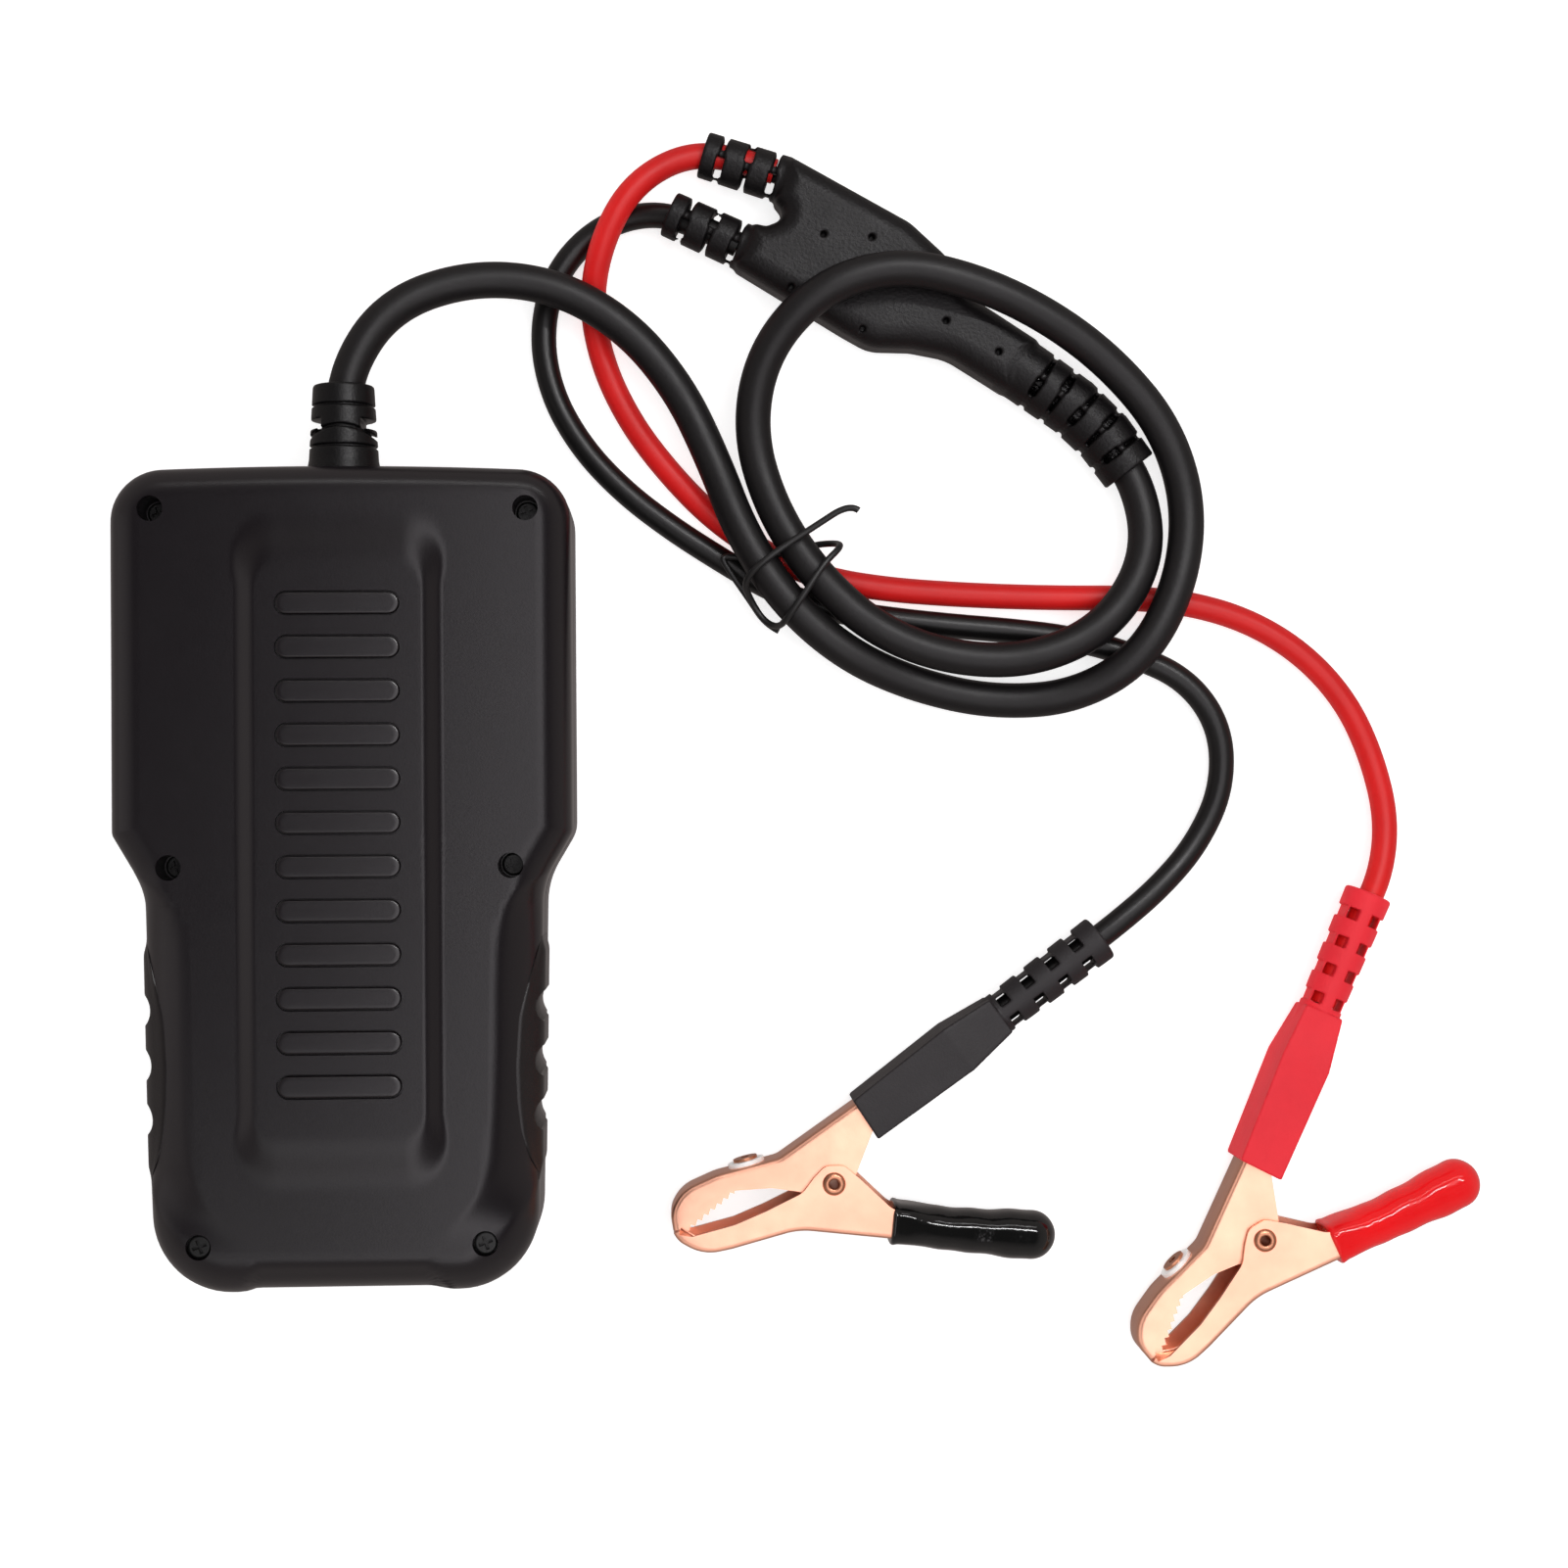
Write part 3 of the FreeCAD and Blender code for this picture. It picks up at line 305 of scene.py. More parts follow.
def net_mesh(f, lo, hi, step):
    """Vertices and quads of the surface f(x, y, z) = 0 on a regular grid."""
    lo, hi = np.array(lo, float), np.array(hi, float)
    n = np.ceil((hi - lo) / step).astype(int) + 1
    ax = [lo[i] + step * np.arange(n[i]) for i in range(3)]
    X, Y, Z = np.meshgrid(*ax, indexing="ij")
    F = f(X, Y, Z)
    ins = F < 0
    s = np.zeros(n - 1, int)
    for i in (0, 1):
        for j in (0, 1):
            for k in (0, 1):
                s += ins[i:n[0] - 1 + i, j:n[1] - 1 + j, k:n[2] - 1 + k]
    act = (s > 0) & (s < 8)
    idx = np.full(act.shape, -1)
    idx[act] = np.arange(act.sum())
    C = np.argwhere(act)
    P, cnt = np.zeros((len(C), 3)), np.zeros(len(C))
    corners = [(i, j, k) for i in (0, 1) for j in (0, 1) for k in (0, 1)]
    for a in corners:
        for d in range(3):
            if a[d]:
                continue
            b = list(a)
            b[d] = 1
            fa = F[C[:, 0] + a[0], C[:, 1] + a[1], C[:, 2] + a[2]]
            fb = F[C[:, 0] + b[0], C[:, 1] + b[1], C[:, 2] + b[2]]
            m = (fa < 0) != (fb < 0)
            t = np.zeros(len(C))
            t[m] = fa[m] / (fa[m] - fb[m])
            for q in range(3):
                P[m, q] += a[q] + (t[m] if q == d else 0)
            cnt[m] += 1
    V = lo + step * (C + P / cnt[:, None])
    e = step * 0.25
    for _ in range(2):
        v = f(V[:, 0], V[:, 1], V[:, 2])
        g = np.stack([f(V[:, 0] + e * (q == 0), V[:, 1] + e * (q == 1), V[:, 2] + e * (q == 2)) - v for q in range(3)], 1) / e
        gl = np.maximum((g * g).sum(1), 0.25)
        V = V - np.clip(v / gl, -0.5 * step, 0.5 * step)[:, None] * g
    faces = []
    for d in range(3):
        o1, o2 = (d + 1) % 3, (d + 2) % 3
        sl0, sl1 = [slice(None)] * 3, [slice(None)] * 3
        sl0[d], sl1[d] = slice(0, n[d] - 1), slice(1, n[d])
        ch = ins[tuple(sl0)] != ins[tuple(sl1)]
        E = np.argwhere(ch)
        E = E[(E[:, o1] > 0) & (E[:, o2] > 0) & (E[:, o1] < n[o1] - 1) & (E[:, o2] < n[o2] - 1)]
        q = []
        for u, w_ in ((-1, -1), (0, -1), (0, 0), (-1, 0)):
            c = E.copy()
            c[:, o1] += u
            c[:, o2] += w_
            q.append(idx[c[:, 0], c[:, 1], c[:, 2]])
        q = np.stack(q, 1)
        flip = ~ins[E[:, 0], E[:, 1], E[:, 2]]
        q[flip] = q[flip][:, ::-1]
        faces.append(q)
    return V, np.concatenate(faces)


def turn_z(V, deg, off):
    a = math.radians(deg)
    c, s = math.cos(a), math.sin(a)
    return np.stack([V[:, 0] * c - V[:, 1] * s + off[0], V[:, 0] * s + V[:, 1] * c + off[1], V[:, 2]], 1)


def path_coords(x, y, pts):
    """Distance along and across a plan polyline, for each point."""
    best = np.full(x.shape, 1e18)
    S, T = np.zeros(x.shape), np.zeros(x.shape)
    acc = 0.0
    pts = [np.array(p, float) for p in pts]
    for i, (a, b) in enumerate(zip(pts, pts[1:])):
        e = b - a
        L = np.linalg.norm(e)
        e = e / L
        wx, wy = x - a[0], y - a[1]
        s = wx * e[0] + wy * e[1]
        lo_, hi_ = (-1e9 if i == 0 else 0.0), (1e9 if i == len(pts) - 2 else L)
        sc = np.clip(s, lo_, hi_)
        dx, dy = wx - e[0] * sc, wy - e[1] * sc
        d = dx * dx + dy * dy
        m = d < best
        best = np.where(m, d, best)
        S = np.where(m, acc + sc, S)
        T = np.where(m, -e[1] * wx + e[0] * wy, T)
        acc += L
    return S, T


STEP = 0.36

# ------------------------------------------------------------------ rear cover: a moulded skin over the whole outline
HOUSE = [(43.1, 77.84, 9.5), (43.1, 8.5, 2.6), (37.4, -1.2, 15), (36.0, -77.84, 15), (-36.0, -77.84, 15), (-37.4, -1.2, 15),
         (-43.1, 8.5, 2.6), (-43.1, 77.84, 9.5)]
house_poly = round_poly(HOUSE, 14)
edge = house_poly[house_poly[:, 0] > 0]
edge = edge[np.argsort(edge[:, 1])]


def half_width(y):
    return np.interp(y, edge[:, 1], edge[:, 0])


def crease_x(y):
    return np.interp(y, [-70, -66, -62.2, -58.7, -53.4, -43.6, -32, -20, -11, -4.9, 1.0, 4.9, 8.0],
                     [14.0, 19.5, 23.3, 26.0, 27.9, 28.7, 29.2, 29.3, 29.7, 31.2, 35.3, 38.7, 42.4])


def smooth_table(fn, y, wdt=2.2):
    return sum(k * fn(y + o * wdt) for o, k in ((-1, 0.25), (0, 0.5), (1, 0.25)))


def top_z(x, y, d):
    """Height of the rear skin; d is the distance in from the outline."""
    ax = np.abs(x)
    R_ = 5.6 + 2.6 * sstep(-40, -66, y)
    dd = np.clip(d, 0, R_)
    drop = R_ - np.sqrt(np.maximum(R_ * R_ - (R_ - dd) ** 2, 0))
    w_ = half_width(np.clip(y, -77.8, 77.8))
    xc = smooth_table(crease_x, y)
    u = np.clip((ax - xc) / np.maximum(w_ - xc, 0.6), 0, 1)
    amp = sstep(9.0, 3.0, y) * sstep(-70, -54, y)
    D = 3.2 + 4.6 * sstep(8, -6, y)
    scoop = amp * D * (0.40 * u + 0.60 * (1 - np.sqrt(np.maximum(1 - u ** 2.4, 0))))
    drop = np.maximum(drop, scoop)
    yc_, hy = 5.5, 53.3
    rc_ = 4.2
    qx, qy = ax - (16.1 - rc_), np.abs(y - yc_) - (hy - rc_)
    px_, py_ = np.maximum(qx, 0), np.maximum(qy, 0)
    out = np.sqrt(px_ ** 2 + py_ ** 2) + np.minimum(np.maximum(qx, qy), 0) - rc_
    sn = py_ ** 2 / np.maximum(px_ ** 2 + py_ ** 2, 1e-6)
    wr = 2.55 + 7.6 * sn
    t = np.clip(1 - out / wr, -1, 2)
    k = 0.07
    crisp = smin(smax(t, np.zeros_like(t), k), np.ones_like(t), k)
    tt = np.clip(t, 0, 1)
    soft_ = tt * tt * (3 - 2 * tt)
    lin = crisp * (1 - sn) + soft_ * sn
    return 30.5 - drop + 1.5 * lin


ends = [0, 0.06, 0.22, 0.5, 0.9, 1.4, 2.0, 2.7, 3.5, 4.4, 5.4, 6.5, 7.7, 9.0, 10.4, 12.0]
ys = sorted(set([round(-77.84 + e, 3) for e in ends] + [round(77.84 - e, 3) for e in ends] +
                [round(v, 3) for v in np.arange(-65.2, 65.3, 0.9)] + [round(v, 3) for v in np.arange(-8, 11, 0.45)]))
ys = np.array([v for k, v in enumerate(ys) if k == 0 or v - ys[k - 1] > 0.04 or v > 77])
ins = np.array([0, 0.06, 0.22, 0.5, 0.9, 1.4, 2.0, 2.7, 3.5, 4.4, 5.4, 6.6, 8.0, 9.6])
fr = np.linspace(-1, 1, 93)
gx, gy = [], []
recess = np.zeros_like(ys)
for yv, rc in zip(ys, recess):
    w_ = half_width(yv) - rc
    core = w_ - 11.0
    row = np.concatenate([-(w_ - ins), core * fr, (w_ - ins)[::-1]])
    gx.append(row)
    gy.append(np.full(row.size, yv))
gx, gy = np.array(gx), np.array(gy)
dist = np.maximum(-sd_poly(gx, gy, house_poly), 0)
gz = top_z(gx, gy, dist)
# shallow lead-in across the far end
lead = (1 - sstep(0, 1.5, np.abs(gx) - (15.2 + 0.75 * np.clip(-73.0 - gy, 0, 5)))) * sstep(-71.6, -73.6, gy)
gz = gz - 0.75 * lead


def bow(x, y):
    inset = 0.62 * (1 - sstep(16.6, 19.0, np.abs(x))) * sstep(-71.0, -77.8, y)
    return y - 0.85 * (np.abs(x) / 38.0) ** 2 * sstep(35, 77, y) + inset


nr, nc = gx.shape
verts = np.stack([gx, bow(gx, gy), gz], 2).reshape(-1, 3)
fid = np.arange(nr * nc).reshape(nr, nc)
faces = [(fid[a, b], fid[a, b + 1], fid[a + 1, b + 1], fid[a + 1, b]) for a in range(nr - 1) for b in range(nc - 1)]
loop = [fid[0, b] for b in range(nc)] + [fid[a, nc - 1] for a in range(1, nr)] + [fid[nr - 1, b] for b in range(nc - 2, -1, -1)] + \
       [fid[a, 0] for a in range(nr - 2, 0, -1)]
# straight sides down to the parting line, with the narrow shut-line step at the bottom
levels = [(22.0, 0.0), (18.0, 0.0), (15.75, 0.0), (15.6, 0.12), (15.35, 0.3), (15.05, 0.3)]
verts = list(verts)
prev = loop
cx0 = np.array([0.0, 0.0])
for zl, inset in levels:
    ring = []
    for q, vi in enumerate(loop):
        v = verts[vi]
        sx = 1 - inset / 43.1
        sy = 1 - inset / 77.8
        ring.append(len(verts))
        verts.append(np.array([v[0] * sx, v[1] * sy, min(zl, v[2] - 0.02) if zl > 16 else zl]))
    n_ = len(loop)
    faces += [(prev[q], ring[q], ring[(q + 1) % n_], prev[(q + 1) % n_]) for q in range(n_)]
    prev = ring
faces.append(tuple(prev[::-1]))
rear = make_obj("rear_shell", verts, faces, "housing", sharp=38)
bm = bmesh.new()
bm.from_mesh(rear.data)
bmesh.ops.recalc_face_normals(bm, faces=bm.faces)
bm.to_mesh(rear.data)
bm.free()


def tool_prism(bm, poly, z0_, z1_, scale_top=1.0):
    c = np.mean(poly, axis=0)
    lo_ = [bm.verts.new((p[0] * MM, p[1] * MM, z0_ * MM)) for p in poly]
    hi_ = [bm.verts.new(((c[0] + (p[0] - c[0]) * scale_top) * MM, (c[1] + (p[1] - c[1]) * scale_top) * MM, z1_ * MM)) for p in poly]
    n_ = len(poly)
    bm.faces.new(lo_[::-1])
    bm.faces.new(hi_)
    for q in range(n_):
        bm.faces.new((lo_[q], lo_[(q + 1) % n_], hi_[(q + 1) % n_], hi_[q]))


def circle(cx, cy, r, n_=40):
    return [(cx + r * math.cos(2 * math.pi * k / n_), cy + r * math.sin(2 * math.pi * k / n_)) for k in range(n_)]


def stadium(cy, hx, hy, n_=10, cx=0.0):
    out = []
    for k in range(n_ + 1):
        a = -math.pi / 2 + math.pi * k / n_
        out.append((cx + hx - hy + hy * math.cos(a), cy + hy * math.sin(a)))
    for k in range(n_ + 1):
        a = math.pi / 2 + math.pi * k / n_
        out.append((cx - hx + hy + hy * math.cos(a), cy + hy * math.sin(a)))
    return out


def cut_with(o, build):
    bm = bmesh.new()
    build(bm)
    bmesh.ops.recalc_face_normals(bm, faces=bm.faces)
    me = bpy.data.meshes.new("tool")
    bm.to_mesh(me)
    bm.free()
    t = bpy.data.objects.new("tool", me)
    bpy.context.collection.objects.link(t)
    md = o.modifiers.new("cut", "BOOLEAN")
    md.operation = "DIFFERENCE"
    md.solver = "EXACT"
    md.object = t
    bpy.context.view_layer.update()
    dg = bpy.context.evaluated_depsgraph_get()
    new = bpy.data.meshes.new_from_object(o.evaluated_get(dg))
    o.modifiers.clear()
    old = o.data
    o.data = new
    bpy.data.meshes.remove(old)
    bpy.data.objects.remove(t)
    bpy.data.meshes.remove(me)


WELLS = [(-34.8, 69.3, 21.0), (34.8, 69.3, 21.0), (-31.7, 2.4, 21.0), (31.7, 2.4, 21.0), (-26.55, -68.2, 27.4), (26.55, -68.2, 27.4)]
RIBS = [51.45 - 8.17 * k for k in range(12)]
BITES = [(37.4 + (v + 1.2) * 1.4 / 76.64 - 0.95 + 3.7, v) for v in (-24.5, -34.8, -45.0)]


def tools(bm):
    for wx, wy, wz in WELLS:
        tool_prism(bm, circle(wx, wy, 2.38), wz, 34)
    for ry in RIBS:
        tool_prism(bm, stadium(ry, 11.74, 2.34), 30.5, 33)
    for sg in (1, -1):
        for bx, by in BITES:
            tool_prism(bm, circle(sg * bx, by, 3.7, 64), 5, 36)


cut_with(rear, tools)


def inset_loop(pts, d):
    """closed outline moved inwards by d, thinned to about 3 mm steps"""
    keep = [pts[0]]
    for p in pts[1:]:
        if math.hypot(p[0] - keep[-1][0], p[1] - keep[-1][1]) > 3.0:
            keep.append(p)
    if math.hypot(keep[0][0] - keep[-1][0], keep[0][1] - keep[-1][1]) < 1.5:
        keep.pop()
    n_ = len(keep)
    turn = sum(keep[k][0] * keep[(k + 1) % n_][1] - keep[(k + 1) % n_][0] * keep[k][1] for k in range(n_))
    sg = 1 if turn > 0 else -1
    out = []
    for k in range(n_):
        tx, ty = keep[(k + 1) % n_][0] - keep[k - 1][0], keep[(k + 1) % n_][1] - keep[k - 1][1]
        ln = math.hypot(tx, ty)
        out.append((keep[k][0] - sg * d * ty / ln, keep[k][1] + sg * d * tx / ln))
    return out


def hollow(o, poly, z0_, z1_):
    """cut a pocket from the parting face, leaving the screw bosses standing"""
    bm = bmesh.new()
    tool_prism(bm, poly, z0_, z1_)
    bmesh.ops.recalc_face_normals(bm, faces=bm.faces)
    me = bpy.data.meshes.new("pocket")
    bm.to_mesh(me)
    bm.free()
    t = bpy.data.objects.new("pocket", me)
    bpy.context.collection.objects.link(t)
    cut_with(t, lambda b: [tool_prism(b, circle(wx, wy, 4.0), z0_ - 1, z1_ + 1) for wx, wy, wz in WELLS if wz < 25 or z1_ > 25])

    def copy_in(b):
        b.from_mesh(t.data)
    cut_with(o, copy_in)
    me = t.data
    bpy.data.objects.remove(t)
    bpy.data.meshes.remove(me)


rim = [(verts[vi][0], verts[vi][1]) for vi in loop]
hollow(rear, inset_loop(rim, 3.2), 14.0, 21.95)
hollow(rear, inset_loop(rim, 7.4), 13.5, 27.2)


def cable_way(bm):
    ring = [[bm.verts.new(((-0.8 + 5.7 * math.cos(2 * math.pi * k / 48)) * MM, yy * MM, (15.0 + 5.7 * math.sin(2 * math.pi * k / 48)) * MM))
             for k in range(48)] for yy in (69.0, 82.0)]
    bm.faces.new(ring[0])
    bm.faces.new(ring[1][::-1])
    for k in range(48):
        bm.faces.new((ring[0][k], ring[0][(k + 1) % 48], ring[1][(k + 1) % 48], ring[1][k]))


cut_with(rear, cable_way)
# screw shank holes under the wells
cut_with(rear, lambda bm: [tool_prism(bm, circle(wx, wy, 1.52), 10, wz + 0.4) for wx, wy, wz in WELLS])
rear.data.set_sharp_from_angle(angle=math.radians(32))


# the raised bars of the panel, one rounded bar in each sunk outline
bv, bf = [], []
for ry in RIBS:
    prof = [(0.0, 30.4), (0.0, 32.12), (0.07, 32.27), (0.2, 32.35), (0.45, 32.39), (1.0, 32.4)]
    rings = []
    for ins_, zz in prof:
        pl = stadium(ry, 11.36 - ins_, 1.96 - ins_, 12)
        rings.append([len(bv) + k for k in range(len(pl))])
        bv += [(q[0], q[1], zz) for q in pl]
    for r0_, r1_ in zip(rings, rings[1:]):
        n_ = len(r0_)
        bf += [(r0_[k], r0_[(k + 1) % n_], r1_[(k + 1) % n_], r1_[k]) for k in range(n_)]
    bf.append(tuple(rings[-1]))
    bf.append(tuple(rings[0][::-1]))
bars = make_obj("rear_bars", bv, bf, "housing", sharp=50)
put(rear, "tester", "housing", "rear_cover")
put(bars, "tester", "housing")


# ------------------------------------------------------------------ crescent side grips with three finger scallops
def grip_mesh(sign):
    gy_ = np.linspace(-11.2, -57.2, 170)
    xi = smooth_table(lambda v: np.interp(v, [-57.5, -54.7, -52.5, -48, -42, -35.5, -26, -20.6, -17.2, -12.4, -10.5],
                                          [37.0, 35.7, 34.5, 33.2, 32.5, 32.25, 32.9, 34.3, 35.3, 36.7, 37.6]), gy_, 1.2)
    vv, ff, rings = [], [], []
    for k, yv in enumerate(gy_):
        w_ = float(half_width(np.array(yv)))
        endf = float(sstep(-11.2, -14.5, yv) * sstep(-57.2, -53.5, yv))
        x0_ = min(xi[k], w_ - 0.25)
        tt = np.array([0.0, 0.05, 0.12, 0.22, 0.34, 0.46, 0.58, 0.7, 0.8, 0.88, 0.94, 0.98, 1.0])
        xs_ = x0_ + (w_ - x0_) * tt
        zs_ = top_z(xs_, np.full_like(xs_, yv), w_ - xs_)
        off = np.interp(tt, [0, 0.05, 0.12, 0.3, 0.42, 1], [-0.08, 0.06, 0.26, 0.30, 0.12, 0.10]) * endf
        wide = 0.05 + 0.6 * endf
        prof = [(x0_ - 0.1, zs_[0] - 0.8)] + [(xs_[q] + wide * tt[q] ** 2, zs_[q] + off[q]) for q in range(tt.size)]
        xo = w_ + wide
        prof += [(xo, min(zs_[-1] - 1.0, 21.0)), (xo, 14.0), (xo, 9.2), (xo - 0.15, 7.7), (xo - 0.5, 7.15), (xo - 2.4, 7.05), (xo - 2.4, 14.0),
                 (min(x0_, xo - 2.4), zs_[0] - 2.2)]
        ring = []
        for px_, pz_ in prof:
            ring.append(len(vv))
            vv.append((sign * px_, yv, max(pz_, 7.0)))
        rings.append(ring)
    n_ = len(rings[0])
    for r0_, r1_ in zip(rings, rings[1:]):
        for q in range(n_):
            ff.append((r0_[q], r0_[(q + 1) % n_], r1_[(q + 1) % n_], r1_[q]))
    ff.append(tuple(rings[0]))
    ff.append(tuple(rings[-1]))
    return vv, ff


for sgn, nm in ((1, "grip_right"), (-1, "grip_left")):
    vv, ff = grip_mesh(sgn)
    o = make_obj(nm + "_pad", vv, ff, "grip", sharp=60)
    bm = bmesh.new()
    bm.from_mesh(o.data)
    bmesh.ops.recalc_face_normals(bm, faces=bm.faces)
    bm.to_mesh(o.data)
    bm.free()
    cut_with(o, lambda bm: [tool_prism(bm, circle(sgn * bx, by, 3.68, 64), 3, 40) for bx, by in BITES])
    o.data.set_sharp_from_angle(angle=math.radians(50))
    put(o, "tester", "grip", nm)

# ------------------------------------------------------------------ Y splitter
split_pts = [(85.6, 141.2, 1.5), (109.6, 127.9, 10), (116.6, 121.4, 9), (121.0, 113.6, 10), (135.4, 104.2, 1.5),
             (128.6, 94.2, 1.5), (116.8, 101.6, 12), (109.6, 103.0, 9), (101.4, 103.2, 9), (96.2, 106.1, 9),
             (74.4, 119.4, 1.5), (78.4, 127.8, 1.5), (81.2, 127.2, 1.6), (85.4, 128.8, 2.0), (82.6, 132.3, 1.5)]
split_poly = round_poly(split_pts)
pins = [(92.3, 124.9), (101.7, 124.3), (85.9, 114.7), (99.8, 106.5), (116.2, 108.0), (126.5, 101.9), (112.1, 102.6), (122.6, 96.7)]
tails = [([(153.2, 79.2), (148.2, 86.0), (142.0, 92.0), (133.0, 98.4), (126.0, 103.0)], 26.5, 5.75, 6.15, 3.62,
          [(4.6, 1), (9.9, -1), (15.3, 1), (20.6, -1), (25.4, 1)]),
         ([(68.9, 141.9), (92.0, 134.6)], 17.5, 4.55, 4.75, 2.62, [(3.7, -1), (9.1, 1), (14.4, -1)]),
         ([(62.1, 130.2), (83.0, 120.7)], 17.5, 4.5, 4.7, 2.62, [(3.7, -1), (9.1, 1), (14.4, -1)])]


def f_split(x, y, z):
    h, r = 6.4, 4.2
    d2 = sd_poly(x[:, :, 0], y[:, :, 0], split_poly)[:, :, None] if x.ndim == 3 else sd_poly(x, y, split_poly)
    zz = np.abs(z - 6.4) - h + 0.02
    a, b = d2 + r, zz + r
    f = np.sqrt(np.maximum(a, 0) ** 2 + np.maximum(b, 0) ** 2) + np.minimum(np.maximum(a, b), 0) - r
    for pts, ln, r0, r1, bore, slots in tails:
        S, T = path_coords(x, y, pts)
        Zr = z - 6.4
        rad = np.sqrt(T * T + Zr * Zr)
        rr = r0 + (r1 - r0) * np.clip(S / ln, 0, 1)
        notch = np.zeros_like(S)
        for s0, side in slots:
            notch = np.maximum(notch, 0.55 * (1 - sstep(0.35, 0.75, np.abs(S - s0))))
        g = smax(rad - rr + notch, -S, 0.5)
        g = np.maximum(g, S - ln - (6 if bore > 3 else -0.4))
        for s0, side in slots:
            ds = np.abs(S - s0)
            win = np.maximum(ds - 0.85, np.abs(T - side * 2.0) - 1.75)
            slit = np.maximum(ds - 0.36, np.abs(T + side * 2.6) - 1.5)
            cut = np.minimum(win, slit)
            if bore > 3:
                cut = np.maximum(cut, bore + 0.25 - rad)
            g = smax(g, -cut, 0.35)
        f = smin(f, g, 0.7)
        f = np.maximum(f, -np.maximum(rad - bore, S - ln - 3))
    for px, py in pins:
        rr = np.sqrt((x - px) ** 2 + (y - py) ** 2)
        f = smax(f, -np.maximum(rr - 0.62, 10.9 - z), 0.12)
    return f


V, Fc = net_mesh(f_split, (58, 73, -0.8), (161, 149, 13.6), STEP)
V[:, 2] = np.maximum(V[:, 2], 0.02)
splitter = put(make_obj("splitter", V, Fc, "splitter_black"), "tester", "cable_black", "y_splitter")

# ------------------------------------------------------------------ strain relief on the housing
def f_relief(x, y, z):
    X_, Z_ = x + 0.8, z - 15.0
    rad = np.sqrt(X_ * X_ + Z_ * Z_)
    t = np.clip((y - 78.0) / 16.6, 0, 1)
    rr = 6.8 - 0.95 * t + 0.25 * (1 - sstep(78, 80.5, y))
    g = smax(smax(rad - rr, y - 94.6, 0.6), 77.6 - y, 0.2)
    for yc, dep in ((82.6, 0.7), (90.5, 0.7)):
        ring = np.maximum(np.abs(y - yc) - 0.26, rr - dep - rad)
        g = smax(g, -ring, 0.15)
    # slots in from both sides, and the shallow groove that joins them over the top
    side = np.maximum(np.abs(y - 86.9) - 0.95, 3.75 - np.abs(X_))
    g = smax(g, -side, 0.3)
    groove = np.maximum(np.abs(y - 86.4 + 0.05 * X_ * X_) - 0.36, rr - 1.1 - rad)
    g = smax(g, -groove, 0.2)
    flange = np.maximum(rad - 5.5, np.maximum(75.0 - y, y - 78.0))
    g = np.minimum(g, flange)
    return np.maximum(g, -(rad - 3.6))


V, Fc = net_mesh(f_relief, (-9, 74, 6.5), (7.5, 96, 23.5), STEP * 0.8)
relief = put(make_obj("relief", V, Fc, "relief_black"), "tester", "cable_black", "strain_relief")

# ------------------------------------------------------------------ battery clips
CLIPS = (("black", (92.97, -60.66), 0.0), ("red", (177.69, -72.89), 30.0))
BA = math.radians(36.4)
BU, BV = np.array([math.cos(BA), math.sin(BA)]), np.array([-math.sin(BA), math.cos(BA)])
BO = np.array([6.5, 12.6])


def boot_local(x, y):
    return (x - BO[0]) * BU[0] + (y - BO[1]) * BU[1], (x - BO[0]) * BV[0] + (y - BO[1]) * BV[1]


def f_boot(s, v, z):
    """Boot in its own axes: s along, v across, z up from the middle."""
    av, az = np.abs(v), np.abs(z)
    # flat-sided grip: nearly parallel for 22.5 mm, then tapering to the neck
    sides = np.maximum((av - (4.5 + 0.5 * s / 22.5)) * 0.9998, (av - (5.0 - 1.1 * (s - 22.5) / 10.7)) * 0.995)
    tops = np.maximum(az - 6.45, (az - (6.45 - 1.95 * (s - 22.5) / 10.7)) * 0.984)
    ends = np.maximum(-s - 0.35 + 0.06 * v, s - 33.2)
    body = smax(smax(sides, tops, 0.45), ends, 0.45)
    # slotted, ribbed sleeve round the lead
    rad = np.sqrt(v * v + z * z)
    rr = 4.25 + 0.45 * (s - 33) / 25.5
    g = smax(rad - rr, s - 58.5, 0.7)
    g = np.maximum(g, 30 - s)
    for s0 in (35.4, 41.4, 47.4, 53.3):
        ds = np.abs(s - s0) - 1.15
        g = smax(g, -np.maximum(ds, 3.55 - av), 0.3)
        win = np.maximum(np.maximum(ds, np.abs(av - 2.15) - 0.95), 0)
        win = np.maximum(ds, np.abs(av - 2.15) - 0.95)
        g = smax(g, -win, 0.25)
    f = smin(body, g, 0.3)
    f = np.maximum(f, -np.maximum(rad - 2.6, 34.5 - s))
    # pocket that the jaw's handle is pushed into
    pocket = np.maximum(np.maximum(np.abs(v - 0.55) - 2.95, az - 4.65), s - 6)
    return np.maximum(f, -pocket)


V, Fc = net_mesh(f_boot, (-1.6, -6.2, -7.4), (59.6, 6.2, 7.4), STEP * 0.85)
W = np.stack([BO[0] + V[:, 0] * BU[0] + V[:, 1] * BV[0], BO[1] + V[:, 0] * BU[1] + V[:, 1] * BV[1], V[:, 2] + 6.5], 1)
for c, piv, tz in CLIPS:
    o = make_obj(c + "_boot_grip", turn_z(W, tz, piv), Fc, "boot_" + c, sharp=40)
    put(o, "tester", "boot_" + c, c + "_boot")

# dipped sleeve on the loose handle, rounded like the liquid vinyl it was dipped in
HD = np.array([28.3, -2.87]) / math.hypot(28.3, 2.87)
HN = np.array([-HD[1], HD[0]])
HO = np.array([11.3, -8.75])


